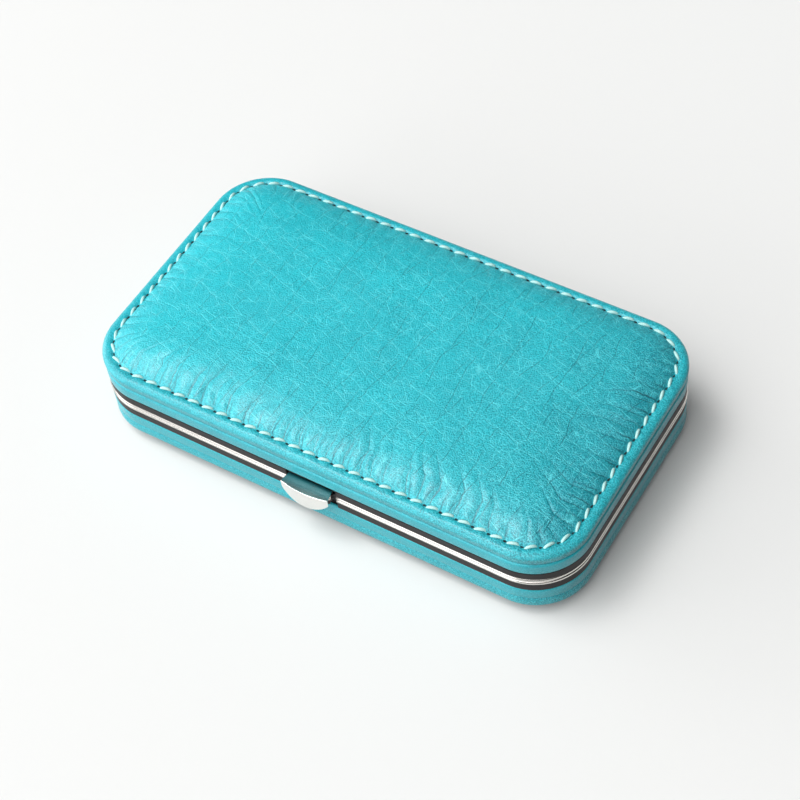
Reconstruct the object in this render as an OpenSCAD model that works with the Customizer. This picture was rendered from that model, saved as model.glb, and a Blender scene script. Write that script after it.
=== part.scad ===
// Manicure set case: two leather-covered halves in hinged metal frames, a
// push-button latch, and a five-piece nail-care set held in leather loops.
// The case rests on z = 0 with the latch facing -Y and the hinge facing +Y.
// Each half is drawn upwards from the parting plane; the base is its mirror image.

/* [Case] */
// Length of the closed case over its leather edges
case_l = 120; // [116:1:130]
// Width of the closed case over its leather edges
case_w = 68; // [66:1:74]
// Height of one half, from the parting plane to the top of its pad
half_h = 12; // [11.6:0.1:14]
// Corner radius of the case seen from above
corner_r = 13; // [10:0.5:16]

/* [Interior] */
// Depth of the room inside each half
tray_depth = 5; // [4.8:0.1:5.4]
// Thickness of the velour lining and its card
lining_t = 0.5; // [0.4:0.05:0.6]
// Wall of the moulded shells
shell_t = 0.6; // [0.5:0.05:0.8]
// Gap left for glue or fit between neighbouring pieces
fit_gap = 0.05; // [0.04:0.01:0.06]

/* [Frame] */
// Wall of the metal frames
frame_t = 0.6; // [0.5:0.05:0.8]
// Height of the polished bead on each frame's edge
bead_h = 0.95; // [0.8:0.05:1.1]
// Distance from the parting plane to the far edge of the black trim band
trim_top = 2.9; // [2.8:0.1:3.4]
// Thickness of the black trim band
trim_t = 0.55; // [0.5:0.05:0.7]
// How far the trim band lies inside the case's edge
trim_inset = 0.15; // [0.1:0.05:0.2]

/* [Covers] */
// Thickness of the cover leather
leather_t = 1; // [0.8:0.1:1.1]
// Thickness of the stiffener board inside each cover
board_t = 1; // [0.8:0.1:1.2]
// Width of the leather turned in under the board
hem_w = 7; // [5:0.5:9]
// How far the row of stitches lies inside the case's edge
stitch_inset = 2.56; // [2.4:0.02:3]
// Depth of the dent that the stitches pull into the leather
stitch_dent = 0.3; // [0.2:0.05:0.4]
// Distance over which the pad swells up from the stitches
crown_w = 16; // [12:0.5:18]
// How suddenly the pad swells up next to the stitches
crown_power = 3; // [2:0.1:4]
// How far the base pad is pressed flat where the case stands on it
flat_depth = 0.5; // [0.4:0.05:0.6]
// How far the side leather lies inside the case's edge
side_inset = 0.1; // [0.05:0.01:0.15]

/* [Hinge] */
// Length of the hinge
hinge_l = 66; // [54:1:72]
// Outer diameter of the hinge knuckles
knuckle_d = 2.2; // [2:0.1:2.4]
// Diameter of the hinge pin
pin_d = 1; // [0.8:0.1:1.2]
// Thickness of the hinge leaves
leaf_t = 0.5; // [0.4:0.05:0.5]
// Distance of the hinge axis behind the case's edge
hinge_out = 0.5; // [0.45:0.05:0.8]

/* [Latch] */
// Width of the push button at its front corners
button_w = 12; // [10:0.5:14]
// Height of the push button in the middle
button_h = 5; // [4.6:0.1:5.4]
// How far the middle of the button stands out from the case's edge
button_out = 3.3; // [2.6:0.1:4]
// Travel of the push button
button_travel = 0.9; // [0.6:0.05:1]
// Width of the latch housing inside the base
housing_w = 18; // [16:0.5:20]

/* [Tools] */
// Length of the nail clipper
clipper_l = 54; // [48:1:56]
// Width of the nail clipper
clipper_w = 11.5; // [10:0.5:12]
// Length of the tweezers
tweezers_l = 92; // [80:1:96]
// Length of the cuticle pusher
pusher_l = 90; // [80:1:96]
// Diameter of the cuticle pusher's handle
pusher_d = 3.8; // [3:0.1:4]
// Length of the nail file with its handle
file_l = 94; // [84:1:98]
// Distance from the scissors' screw to the tips
blade_l = 42; // [34:1:44]
// Outer diameter of the scissors' finger rings
ring_d = 21; // [19:0.5:22]
// Thickness of the scissors' ring wire
wire_d = 3; // [2.6:0.1:3.2]
// Width of the leather loops that hold the tools
loop_w = 9; // [7:0.5:10]
// Thickness of the loop leather
loop_t = 0.8; // [0.6:0.1:0.9]

/* [Hidden] */

// Colours
teal = [0.25, 0.75, 0.78];
nickel = [0.82, 0.82, 0.83];
black = [0.12, 0.12, 0.12];
velour = [0.10, 0.11, 0.12];
board_grey = [0.62, 0.60, 0.56];
foam_white = [0.93, 0.93, 0.90];

// Insets from the case's edge to the outer face of each wall, from the outside in
frame_inset = trim_inset + trim_t + fit_gap;
shell_inset = frame_inset + frame_t + fit_gap;
lining_inset = shell_inset + shell_t + fit_gap;
room_inset = lining_inset + lining_t;
room_x = case_l/2 - room_inset;
room_y = case_w/2 - room_inset;

// Heights above the parting plane
bead_top = fit_gap + bead_h;
lining_lip = 0.3;
shell_lip = 0.6;
frame_top = tray_depth + lining_t;
shell_top = frame_top + fit_gap + shell_t;
cover_under = shell_top + fit_gap;
board_under = cover_under + leather_t + fit_gap;
board_top = board_under + board_t;
skin_under = board_top + 2*fit_gap;
flange_top = skin_under + leather_t;
crown_rise = half_h - flange_top;
edge_round = 1.1;
edge_in = 1.6;
under_in = 1.2;

// Hinge
knuckles = 5;
knuckle_pitch = hinge_l/knuckles;
knuckle_gap = 0.15;
running_gap = 0.05;
sweep_gap = 0.15;
hinge_y = case_w/2 + hinge_out;
leaf_y = case_w/2 - frame_inset + fit_gap;
leaf_low = 0.3;
rivet_d = 1;
rivet_head_d = 1.4;
rivet_head_h = 0.3;
hinge_rivet_z = trim_top - 0.8;
pin_head_d = 1.6;
pin_head_t = 0.4;
hinge_cut_l = hinge_l + 2*(pin_head_t + 0.3);

// Latch
button_back_inset = 0.4;
button_back_y = -case_w/2 + button_back_inset;
button_side_out = button_out - 0.8;
button_flare = 0.5;
button_end_h = 1.8;
button_clear = 0.3;
stem_w = 5.6;
stem_top = -1.25;
stem_t = 0.6;
stem_clear = 0.2;
plate_w = 11;
latch_front_y = -case_w/2 + lining_inset;
flange_t = 0.5;
housing_top = -0.45;
housing_wall = 0.5;
strike_t = 0.5;
lip_depth = 1.05;
lip_low = 0.45;
lip_t = 0.5;
lip_y = latch_front_y + strike_t + lip_depth;
barb_gap = 0.15;
barb_depth = 0.3;
nose_t = 0.6;
nose_w = 5.2;
nose_top = 1.9;
nose_y = lip_y + barb_gap;
plate_rear_y = nose_y + barb_depth + nose_t + 0.45;
spring_rise = 1.6;
spring_t = 0.25;
spring_w = 13;
spring_h = 1;
housing_rear_y = plate_rear_y + 2*fit_gap + spring_rise + spring_t + housing_wall;

// Tools: where they lie and how thick they are
jaw_t = 1.1;
clipper_front_gap = 2.4;
clipper_side_gap = 6.2;
clipper_x = room_x - clipper_front_gap - clipper_l;
clipper_y = -room_y + clipper_side_gap + clipper_w/2;
clipper_pin_back = 9;
clipper_pin_x = clipper_l - clipper_pin_back;
clipper_pin_d = 2.4;
clipper_pin_top = 8.15;
clipper_head_t = 0.5;
lever_in = 0.75;
arm_t = 0.9;
tweezers_w = 8.6;
tweezers_h = 3.8;
tweezers_y = -4;
pusher_y = 8;
cleaner_l = 16;
cleaner_tip_r = 0.15;
collar_l = 12;
collar_step = 1;
pusher_taper = 4;
neck_l = 12;
spoon_l = 12;
spoon_r = 3.2;
spoon_t = 0.9;
file_y = 20;
file_t = 1;
file_w = 6.4;
file_tip = 12;
grip_l = 34;
grip_w = 8;
grip_t = 3;
loop_xs = [-18, 26];
loop_corner_r = 0.8;
loop_room = 0.3;
loop_foot = 2.2;
loop_latch_gap = 0.55;
clipper_loop_x = housing_w/2 + loop_latch_gap + loop_w/2;
clipper_loop_h = 7.2;

// Scissors, measured from the screw; they lie against the lid's lining
blade_t = 1.4;
blade_gap = 0.05;
scissors_y = 6;
scissors_z = tray_depth - 0.25 - wire_d/2;
ring_x = -34;
ring_y = 12;
boss_r = 4;
screw_d = 2.6;
screw_head_d = 5;
screw_head_t = 0.5;
lid_loop_t = 0.6;
shank_loop_w = 6;
ring_loop_w = 4.5;
ring_loop_room = 1;
lid_loop_h = tray_depth - scissors_z + wire_d/2 + 0.15;
shank_loop_x = -14;

// Fineness of curves
arc_n = 7;
edge_n = 4;
fine = 64;
round_fine = 160;

// ---- Shared shapes ----

// Outline of the case seen from above, moved in by inset
module outline(inset) {
  l = case_l - 2*inset;
  w = case_w - 2*inset;
  r = corner_r - inset;
  square([l - 2*r, w], center = true);
  square([l, w - 2*r], center = true);
  for (sx = [-1, 1], sy = [-1, 1])
    translate([sx*(l/2 - r), sy*(w/2 - r)]) circle(r, $fn = fine);
}

// Upright wall that follows the outline, between two insets and two heights
module wall(inset, t, low, high) {
  translate([0, 0, low]) linear_extrude(high - low) difference() {
    outline(inset);
    outline(inset + t);
  }
}

// Sweeps a section round the case's edge; x = 0 is the edge and x < 0 is inside
module around_edge() {
  for (k = [0:3]) rotate(90*k) {
    a = k % 2 == 0 ? case_l : case_w;
    b = k % 2 == 0 ? case_w : case_l;
    translate([a/2 - corner_r, b/2 - corner_r, 0]) {
      rotate_extrude(angle = 90, $fn = round_fine) translate([corner_r, 0]) children();
      rotate([90, 0, 0]) linear_extrude(b - 2*corner_r) translate([corner_r, 0]) children();
    }
  }
}

// Puts a half that is drawn upwards from the parting plane in its place
module in_lid() { translate([0, 0, half_h]) children(); }
module in_base() { translate([0, 0, half_h]) mirror([0, 0, 1]) children(); }

// Points of the outline at one inset and height, counterclockwise
function ring_points(inset, z) =
  let (r = max(corner_r - inset, 3))
  [for (k = [0:3], i = [0:arc_n])
    let (
      a = 90*(k + i/arc_n),
      sx = k == 0 || k == 3 ? 1 : -1,
      sy = k < 2 ? 1 : -1
    )
    [sx*(case_l/2 - inset - r) + r*cos(a), sy*(case_w/2 - inset - r) + r*sin(a), z]];

// Closed solid through rings given as [inset, height], closed at both ends
module loft(section) {
  n = 4*(arc_n + 1);
  rings = len(section);
  points = [
    for (s = section) each ring_points(s[0], s[1]),
    [0, 0, section[0][1]],
    [0, 0, section[rings - 1][1]]
  ];
  first = n*rings;
  sides = [for (i = [0:rings - 2], j = [0:n - 1])
    let (k = (j + 1) % n)
    each [[n*i + j, n*i + k, n*(i + 1) + k], [n*i + j, n*(i + 1) + k, n*(i + 1) + j]]];
  ends = [for (j = [0:n - 1])
    let (k = (j + 1) % n)
    each [[first, k, j], [first + 1, n*(rings - 1) + j, n*(rings - 1) + k]]];
  polyhedron(points, concat(sides, ends), convexity = 6);
}

// Height of the padded leather at an inset; a rise above half_h is pressed flat
function crown(inset, rise) =
  let (t = min(1, max(0, (inset - stitch_inset)/crown_w)))
  min(half_h, flange_top + rise*(1 - pow(1 - t, crown_power)));

crown_steps = [1, 0.72, 0.52, 0.37, 0.25, 0.16, 0.09, 0.04];

// Leather cover: padded top, stitched dent, rounded edge and turned-in hem
module cover(rise) {
  outside = [for (t = crown_steps)
    let (inset = stitch_inset + t*crown_w) [inset, crown(inset, rise)]];
  dent = [[stitch_inset, flange_top - stitch_dent], [stitch_inset - 0.5, flange_top]];
  edge_top = [for (i = [0:edge_n])
    let (a = 90*i/edge_n) [edge_in*(1 - sin(a)), flange_top - edge_round*(1 - cos(a))]];
  edge_low = [for (i = [1:edge_n])
    let (a = 90*i/edge_n)
    [under_in*(1 - cos(a)), cover_under + (flange_top - edge_round - cover_under)*(1 - sin(a))]];
  hem = [
    [hem_w, cover_under],
    [hem_w, cover_under + leather_t],
    [leather_t, cover_under + leather_t],
    [leather_t, skin_under],
    [stitch_inset, skin_under]
  ];
  inside = [for (i = [len(crown_steps) - 2:-1:0])
    let (inset = stitch_inset + crown_steps[i]*crown_w) [inset, crown(inset, rise) - leather_t]];
  loft(concat(outside, dent, edge_top, edge_low, hem, inside));
}

// Foam pad between the board and the leather
module foam(rise) {
  clearance = leather_t + 2*fit_gap;
  loft(concat(
    [for (i = [0:len(crown_steps) - 2])
      let (inset = stitch_inset + crown_steps[i]*crown_w) [inset, crown(inset, rise) - clearance]],
    [[stitch_inset + crown_steps[len(crown_steps) - 2]*crown_w, board_top + fit_gap]]
  ));
}

module board() {
  translate([0, 0, board_under]) linear_extrude(board_t) outline(leather_t + 2*fit_gap);
}

module side_leather() {
  wall(side_inset, frame_inset - fit_gap - side_inset, trim_top + fit_gap, cover_under - fit_gap);
}

// Moulded half shell whose roof reaches out over the frame
module shell() {
  wall(shell_inset, shell_t, shell_lip, frame_top + fit_gap);
  translate([0, 0, frame_top + fit_gap]) linear_extrude(shell_t) outline(frame_inset);
}

// Velour-covered card tray glued into the shell
module lining() {
  wall(lining_inset, lining_t, lining_lip, tray_depth);
  translate([0, 0, tray_depth]) linear_extrude(lining_t) outline(lining_inset);
}

// Metal frame: an upright wall with a half-round bead along the parting edge
module frame() {
  around_edge() {
    translate([-frame_inset - frame_t, fit_gap]) square([frame_t, frame_top - fit_gap]);
    translate([-frame_inset - fit_gap, fit_gap]) square([frame_inset + fit_gap - bead_h/2, bead_h]);
    translate([-bead_h/2, fit_gap + bead_h/2]) circle(d = bead_h, $fn = 32);
  }
}

module trim_band() { wall(trim_inset, trim_t, bead_top, trim_top); }

// Room for the hinge behind the case, outside the frame wall
module hinge_room() {
  translate([-hinge_cut_l/2, case_w/2 - frame_inset, -1])
    cube([hinge_cut_l, frame_inset + 1, trim_top + 1 + fit_gap/2]);
}

// Room for the push button in front, through the frame wall
module button_room() {
  w = button_w + 2*button_clear;
  translate([-w/2, -case_w/2 - 1, -1]) cube([w, shell_inset + 1 - fit_gap/2, trim_top + 1 + fit_gap/2]);
}

// Cylinder along X between two ends, about the hinge axis
module hinge_rod(x0, x1, d) {
  translate([x0, hinge_y, 0]) rotate([0, 90, 0]) cylinder(d = d, h = x1 - x0, $fn = fine);
}

function knuckle_x(i) = -hinge_l/2 + i*knuckle_pitch;

// One leaf of the hinge with every second knuckle, starting at first
module hinge_leaf(first) {
  difference() {
    union() {
      translate([-hinge_l/2, leaf_y, leaf_low]) cube([hinge_l, leaf_t, trim_top - leaf_low]);
      for (i = [first:2:knuckles - 1])
        hinge_rod(knuckle_x(i) + knuckle_gap/2, knuckle_x(i + 1) - knuckle_gap/2, knuckle_d);
    }
    for (i = [1 - first:2:knuckles - 1])
      hinge_rod(knuckle_x(i) - knuckle_gap/2, knuckle_x(i + 1) + knuckle_gap/2, knuckle_d + 2*sweep_gap);
    hinge_rod(-hinge_l, hinge_l, pin_d + 2*running_gap);
    hinge_rivet_holes();
  }
}

// Places children at each hinge rivet, with +Z pointing out of the case
module at_hinge_rivets() {
  for (i = [1:knuckles - 1])
    translate([knuckle_x(i), leaf_y, hinge_rivet_z]) rotate([-90, 0, 0]) children();
}

module hinge_rivet_holes() {
  at_hinge_rivets() cylinder(d = rivet_d + 2*running_gap, h = 10, center = true, $fn = 32);
}

module hinge_rivets() {
  depth = shell_inset + shell_t - frame_inset + fit_gap;
  at_hinge_rivets() {
    translate([0, 0, -depth]) cylinder(d = rivet_d, h = depth + leaf_t, $fn = 32);
    translate([0, 0, leaf_t]) cylinder(d1 = rivet_head_d, d2 = rivet_d, h = rivet_head_h, $fn = 32);
  }
}

// ---- Lid ----

module lid_cover() { color(teal) in_lid() cover(crown_rise); }
module lid_foam() { color(foam_white) in_lid() foam(crown_rise); }
module lid_board() { color(board_grey) in_lid() board(); }
module lid_side_leather() { color(teal) in_lid() side_leather(); }

module lid_shell() {
  color(velour) in_lid() difference() {
    shell();
    hinge_rivet_holes();
    at_strike_rivets() cylinder(d = rivet_d + 2*running_gap, h = 4, center = true, $fn = 32);
  }
}

module lid_frame() {
  color(nickel) in_lid() difference() {
    frame();
    hinge_room();
    button_room();
    hinge_rivet_holes();
  }
}

module lid_trim_band() {
  color(black) in_lid() difference() {
    trim_band();
    hinge_room();
    button_room();
  }
}

module lid_lining() {
  w = strike_w + 2*button_clear;
  color(velour) in_lid() difference() {
    lining();
    translate([-w/2, -case_w/2, lining_lip - 1]) cube([w, room_inset + fit_gap/2, tray_depth + 1 - lining_lip]);
  }
}

module lid_hinge_leaf() { color(nickel) in_lid() hinge_leaf(1); }
module lid_hinge_rivets() { color(nickel) in_lid() hinge_rivets(); }

strike_w = 16;
strike_top = tray_depth - 0.1;
strike_rivet_x = 6;
strike_rivet_z = 3.2;

module at_strike_rivets() {
  for (s = [-1, 1]) translate([s*strike_rivet_x, latch_front_y, strike_rivet_z]) rotate([-90, 0, 0]) children();
}

// Plate inside the lid's front wall whose lip the latch hook catches
module lid_strike() {
  color(nickel) in_lid() {
    difference() {
      translate([-strike_w/2, latch_front_y, lip_low]) cube([strike_w, strike_t, strike_top - lip_low]);
      at_strike_rivets() cylinder(d = rivet_d + 2*running_gap, h = 4, center = true, $fn = 32);
    }
    translate([-strike_w/2, latch_front_y, lip_low]) cube([strike_w, strike_t + lip_depth, lip_t]);
  }
}

// Rivets through a plate on the inside of a shell's front wall
module front_rivets() {
  depth = shell_t + fit_gap;
  translate([0, 0, -depth]) cylinder(d = rivet_d, h = depth + flange_t, $fn = 32);
  translate([0, 0, flange_t]) cylinder(d1 = rivet_head_d, d2 = rivet_d, h = rivet_head_h, $fn = 32);
}

module lid_strike_rivets() { color(nickel) in_lid() at_strike_rivets() front_rivets(); }

// ---- Base ----

module base_cover() { color(teal) in_base() cover(crown_rise + flat_depth); }
module base_foam() { color(foam_white) in_base() foam(crown_rise + flat_depth); }
module base_board() { color(board_grey) in_base() board(); }
module base_side_leather() { color(teal) in_base() side_leather(); }

// Opening in the base's shell for the button's stem, in assembled height
module stem_room() {
  w = stem_w + 2*stem_clear;
  h = stem_t + 2*stem_clear;
  translate([-w/2, -case_w/2, stem_top + stem_clear - h]) cube([w, room_inset + 1, h]);
}

latch_rivet_x = 7;
latch_rivet_z = -3.6;

module at_latch_rivets() {
  for (s = [-1, 1]) translate([s*latch_rivet_x, latch_front_y, latch_rivet_z]) rotate([-90, 0, 0]) children();
}

module base_shell() {
  color(velour) difference() {
    in_base() difference() {
      shell();
      hinge_rivet_holes();
    }
    in_lid() {
      stem_room();
      at_latch_rivets() cylinder(d = rivet_d + 2*running_gap, h = 4, center = true, $fn = 32);
    }
  }
}

module base_frame() {
  color(nickel) in_base() difference() {
    frame();
    hinge_room();
    button_room();
    hinge_rivet_holes();
  }
}

module base_trim_band() {
  color(black) in_base() difference() {
    trim_band();
    hinge_room();
    button_room();
  }
}

module base_lining() {
  w = housing_w + 2*button_clear;
  color(velour) in_base() difference() {
    lining();
    translate([-w/2, -case_w/2, lining_lip - 1]) cube([w, room_inset + fit_gap/2, tray_depth + 1 - lining_lip]);
  }
}

module base_hinge_leaf() { color(nickel) in_base() hinge_leaf(0); }
module base_hinge_rivets() { color(nickel) in_base() hinge_rivets(); }

// Pin through all the knuckles, with a head at each end
module hinge_pin() {
  head_x = hinge_l/2 + fit_gap;
  color(nickel) in_lid() {
    hinge_rod(-head_x, head_x, pin_d);
    hinge_rod(head_x, head_x + pin_head_t, pin_head_d);
    hinge_rod(-head_x - pin_head_t, -head_x, pin_head_d);
  }
}

// Pressed box that guides the hook and holds the spring
module latch_housing() {
  h = tray_depth - fit_gap + housing_top;
  slot_w = nose_w + 2*button_clear;
  slot_y = nose_y - button_clear;
  slot_l = barb_depth + nose_t + button_travel + 2*button_clear;
  inside_y = latch_front_y + flange_t;
  color(nickel) in_lid() difference() {
    translate([-housing_w/2, latch_front_y, housing_top - h])
      cube([housing_w, housing_rear_y - latch_front_y, h]);
    translate([-housing_w/2 + housing_wall, inside_y, housing_top - h + housing_wall])
      cube([housing_w - 2*housing_wall, housing_rear_y - housing_wall - inside_y, h - 2*housing_wall]);
    translate([-slot_w/2, slot_y, housing_top - 1]) cube([slot_w, slot_l, 2]);
    stem_room();
    at_latch_rivets() cylinder(d = rivet_d + 2*running_gap, h = 2, center = true, $fn = 32);
  }
}

module latch_rivets() { color(nickel) in_lid() at_latch_rivets() front_rivets(); }

// Bowed leaf spring that pushes the hook plate outwards
module latch_spring() {
  r = (pow(spring_w/2, 2) + pow(spring_rise, 2))/(2*spring_rise);
  apex_y = plate_rear_y + fit_gap;
  color(nickel) in_lid() translate([0, apex_y + r, stem_top - stem_t/2 - spring_h/2]) intersection() {
    difference() {
      cylinder(r = r, h = spring_h, $fn = round_fine);
      translate([0, 0, -1]) cylinder(r = r - spring_t, h = spring_h + 2, $fn = round_fine);
    }
    translate([-spring_w/2, -r - 1, 0]) cube([spring_w, spring_rise + spring_t/2 + 1, spring_h]);
  }
}

// ---- Push button ----

// Half-moon button with a flat top, a bowed front and flared ends
module latch_button() {
  half = button_w/2;
  front_y = -case_w/2 - button_out;
  bow = button_out - button_side_out;
  bow_r = (half*half + bow*bow)/(2*bow);
  drop = button_h - button_end_h;
  low_r = (half*half + drop*drop)/(2*drop);
  color(nickel) in_lid() intersection() {
    translate([0, 0, -button_h/2]) linear_extrude(button_h) intersection() {
      translate([0, front_y + bow_r]) circle(bow_r, $fn = 2*round_fine);
      polygon([
        [-half + button_flare, button_back_y],
        [half - button_flare, button_back_y],
        [half, front_y],
        [-half, front_y]
      ]);
    }
    translate([0, button_back_y + 1, low_r - button_h/2]) rotate([90, 0, 0])
      cylinder(r = low_r, h = button_out + 3, $fn = round_fine);
  }
}

// Hook plate: stem behind the button, wide plate in the housing and upturned nose
module latch_hook() {
  plate_y = latch_front_y + flange_t + fit_gap;
  color(nickel) in_lid() {
    translate([-stem_w/2, button_back_y, stem_top - stem_t])
      cube([stem_w, plate_y + 0.5 - button_back_y, stem_t]);
    translate([-plate_w/2, plate_y, stem_top - stem_t]) cube([plate_w, plate_rear_y - plate_y, stem_t]);
    translate([-nose_w/2, 0, 0]) rotate([90, 0, 90]) linear_extrude(nose_w) polygon([
      [nose_y + barb_depth, stem_top - stem_t/2],
      [nose_y + barb_depth + nose_t, stem_top - stem_t/2],
      [nose_y + barb_depth + nose_t, nose_top],
      [nose_y + barb_depth, nose_top],
      [nose_y, lip_low + lip_t + 0.4],
      [nose_y, lip_low + lip_t + 0.1],
      [nose_y + barb_depth, lip_low + lip_t + 0.1]
    ]);
  }
}

// ---- Leather loops ----

// Tunnel section with rounded top corners, w wide and h high, standing on y = 0
module tunnel(w, h, r) {
  translate([-w/2, 0]) square([w, h - r]);
  translate([-w/2 + r, 0]) square([w - 2*r, h]);
  for (s = [-1, 1]) translate([s*(w/2 - r), h - r]) circle(r, $fn = 32);
}

// Strip of leather of thickness t that arches over a tool and lies flat beside it
module loop_section(w, h, t) {
  difference() {
    union() {
      tunnel(w + 2*t, h + t, loop_corner_r + t);
      translate([-w/2 - t - loop_foot, 0]) square([w + 2*t + 2*loop_foot, t]);
    }
    translate([0, -1]) tunnel(w, h + 1, loop_corner_r);
  }
}

// Loop that runs along Y at height 0, centred on x = 0
module loop_along_y(w, h, t, width) {
  translate([-width/2, 0, 0]) rotate([90, 0, 90]) linear_extrude(width) loop_section(w, h, t);
}

// Flat strip that joins two neighbouring loops
module loop_bridge(y0, y1) {
  translate([-loop_w/2, y0, 0]) cube([loop_w, y1 - y0, loop_t]);
}

module base_tool_loops() {
  tools = [
    [tweezers_y, tweezers_w + 2*loop_room, tweezers_h + loop_room],
    [pusher_y, pusher_d + 2*loop_room, pusher_d + loop_room],
    [file_y, grip_w + 2*loop_room, grip_t + loop_room]
  ];
  color(teal) translate([0, 0, half_h - tray_depth + fit_gap]) {
    for (x = loop_xs) translate([x, 0, 0]) {
      for (t = tools) translate([0, t[0], 0]) loop_along_y(t[1], t[2], loop_t, loop_w);
      for (i = [0:len(tools) - 2])
        loop_bridge(tools[i][0] + tools[i][1]/2 + loop_t/2, tools[i + 1][0] - tools[i + 1][1]/2 - loop_t/2);
    }
    translate([clipper_loop_x, clipper_y, 0])
      loop_along_y(clipper_w + 2*loop_room, clipper_loop_h, loop_t, loop_w);
  }
}

// One loop round a shank of the scissors and one round the bar of its ring
module lid_tool_loops() {
  bar_x = ring_x - ring_d/2 + wire_d/2 + ring_loop_room/2;
  color(teal) in_lid() translate([0, scissors_y, tray_depth - fit_gap]) mirror([0, 0, 1]) {
    translate([shank_loop_x, shank_y(shank_loop_x), 0]) rotate(-atan(shank_slope))
      loop_along_y(shank_w + 2*loop_room, lid_loop_h, lid_loop_t, shank_loop_w);
    translate([bar_x, ring_y, 0]) rotate(90)
      loop_along_y(wire_d + 2*loop_room + ring_loop_room, lid_loop_h, lid_loop_t, ring_loop_w);
  }
}

// ---- Nail clipper ----

module in_clipper() { translate([clipper_x, clipper_y, half_h - tray_depth + fit_gap]) children(); }

// Side view in x and z, cut out across the clipper's width with rounded ends
module clipper_leaf(points, w) {
  difference() {
    intersection() {
      translate([0, w/2, 0]) rotate([90, 0, 0]) linear_extrude(w) polygon(points);
      linear_extrude(clipper_pin_top) {
        translate([w/2, 0]) circle(d = w, $fn = fine);
        translate([w/2, -w/2]) square([clipper_l - w, w]);
        intersection() {
          translate([clipper_l - 1.5*w, 0]) circle(1.5*w, $fn = round_fine);
          translate([clipper_l - w, -w/2]) square([w, w]);
        }
      }
    }
    translate([clipper_pin_x, 0, -1])
      cylinder(d = clipper_pin_d + 2*running_gap, h = clipper_pin_top + 2, $fn = fine);
  }
}

module clipper_lower_jaw() {
  l = clipper_l;
  t = jaw_t;
  color(nickel) in_clipper() clipper_leaf([
    [0, 0], [l - 4.5*t, 0], [l - 1.5*t, 1.4*t], [l, 3.4*t], [l - 0.7*t, 3.4*t],
    [l - 2.2*t, 2.2*t], [l - 5*t, t], [0, t]
  ], clipper_w);
}

module clipper_upper_jaw() {
  l = clipper_l;
  t = jaw_t;
  low = t + fit_gap;
  color(nickel) in_clipper() clipper_leaf([
    [0, low], [6.4*t, low], [l - 7.3*t, 3.9*t], [l - 3.5*t, 4.3*t], [l - 1.6*t, 4.2*t],
    [l - 0.7*t, 3.6*t], [l, 3.6*t], [l - 0.6*t, 4.7*t], [l - 2.5*t, 5.4*t],
    [l - 6.9*t, 4.95*t], [6.4*t, low + t], [0, low + t]
  ], clipper_w);
}

module clipper_lever() {
  l = clipper_l;
  t = jaw_t;
  color(nickel) in_clipper() clipper_leaf([
    [2.7*t, 5.55*t], [9*t, 5.2*t], [l - 12.7*t, 6*t], [l - 10*t, 5*t], [l - 7.3*t, 5.1*t],
    [l - 5.5*t, 5.65*t], [l - 3.6*t, 5.7*t], [l - 3.6*t, 6.5*t], [l - 6.4*t, 6.8*t],
    [l - 11*t, 6.9*t], [9*t, 6*t], [2.7*t, 6.4*t]
  ], clipper_w - 2*lever_in);
}

module clipper_pin() {
  color(nickel) in_clipper() translate([clipper_pin_x, 0, 0]) {
    cylinder(d = clipper_pin_d, h = clipper_pin_top, $fn = fine);
    translate([0, 0, clipper_pin_top - clipper_head_t])
      cylinder(d = 1.5*clipper_pin_d, h = clipper_head_t, $fn = fine);
  }
}

// ---- Tweezers, cuticle pusher and nail file, each centred on x = 0 ----

module on_tray(l, y) { translate([-l/2, y, half_h - tray_depth + fit_gap]) children(); }

// Two sprung arms joined at one end, tapering to the tips
module tweezers() {
  l = tweezers_l;
  w = tweezers_w;
  color(nickel) on_tray(l, tweezers_y) intersection() {
    translate([0, w, 0]) rotate([90, 0, 0]) linear_extrude(2*w) polygon([
      [0, 0], [l, 0], [l, 0.6], [l - 8, arm_t], [10, arm_t], [40, 2.6], [l - 20, 2.9], [l, 2.5],
      [l, 3.1], [l - 20, tweezers_h], [40, 3.5], [10, 2*arm_t], [0, 2*arm_t]
    ]);
    linear_extrude(tweezers_h) polygon([
      [0, -0.36*w], [12, -w/2], [0.6*l, -0.48*w], [l, -0.13*w],
      [l - 1.2, 0.13*w], [0.6*l, 0.48*w], [12, w/2], [0, 0.36*w]
    ]);
  }
}

// Turned handle with a pointed cleaner at one end and a spoon at the other
module cuticle_pusher() {
  l = pusher_l;
  r = pusher_d/2;
  collar_x = cleaner_l + pusher_taper;
  neck_x = l - spoon_l - neck_l;
  spoon_x = l - spoon_l;
  color(nickel) on_tray(l, pusher_y) translate([0, 0, r]) {
    rotate([90, 0, 90]) rotate_extrude($fn = fine) polygon([
      [0, 0], [cleaner_tip_r, 0], [0.6*r, cleaner_l], [r, collar_x], [r, collar_x + collar_l],
      [0.85*r, collar_x + collar_l + collar_step], [0.85*r, neck_x - collar_l - collar_step],
      [r, neck_x - collar_l], [r, neck_x], [0.55*r, spoon_x - 0.6*neck_l], [0.5*r, spoon_x], [0, spoon_x]
    ]);
    translate([0, 0, -spoon_t/2]) linear_extrude(spoon_t) {
      translate([l - spoon_r, 0]) circle(spoon_r, $fn = fine);
      polygon([[spoon_x - pusher_taper, -0.4*r], [spoon_x - pusher_taper, 0.4*r],
        [l - spoon_r, spoon_r], [l - spoon_r, -spoon_r]]);
    }
  }
}

module nail_file() {
  shoulder = file_l - file_tip;
  color(nickel) on_tray(file_l, file_y) translate([0, 0, grip_t/2 - file_t/2]) linear_extrude(file_t) polygon([
    [grip_l, -file_w/2], [shoulder, -file_w/2], [file_l, 0], [shoulder, file_w/2], [grip_l, file_w/2]
  ]);
}

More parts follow.
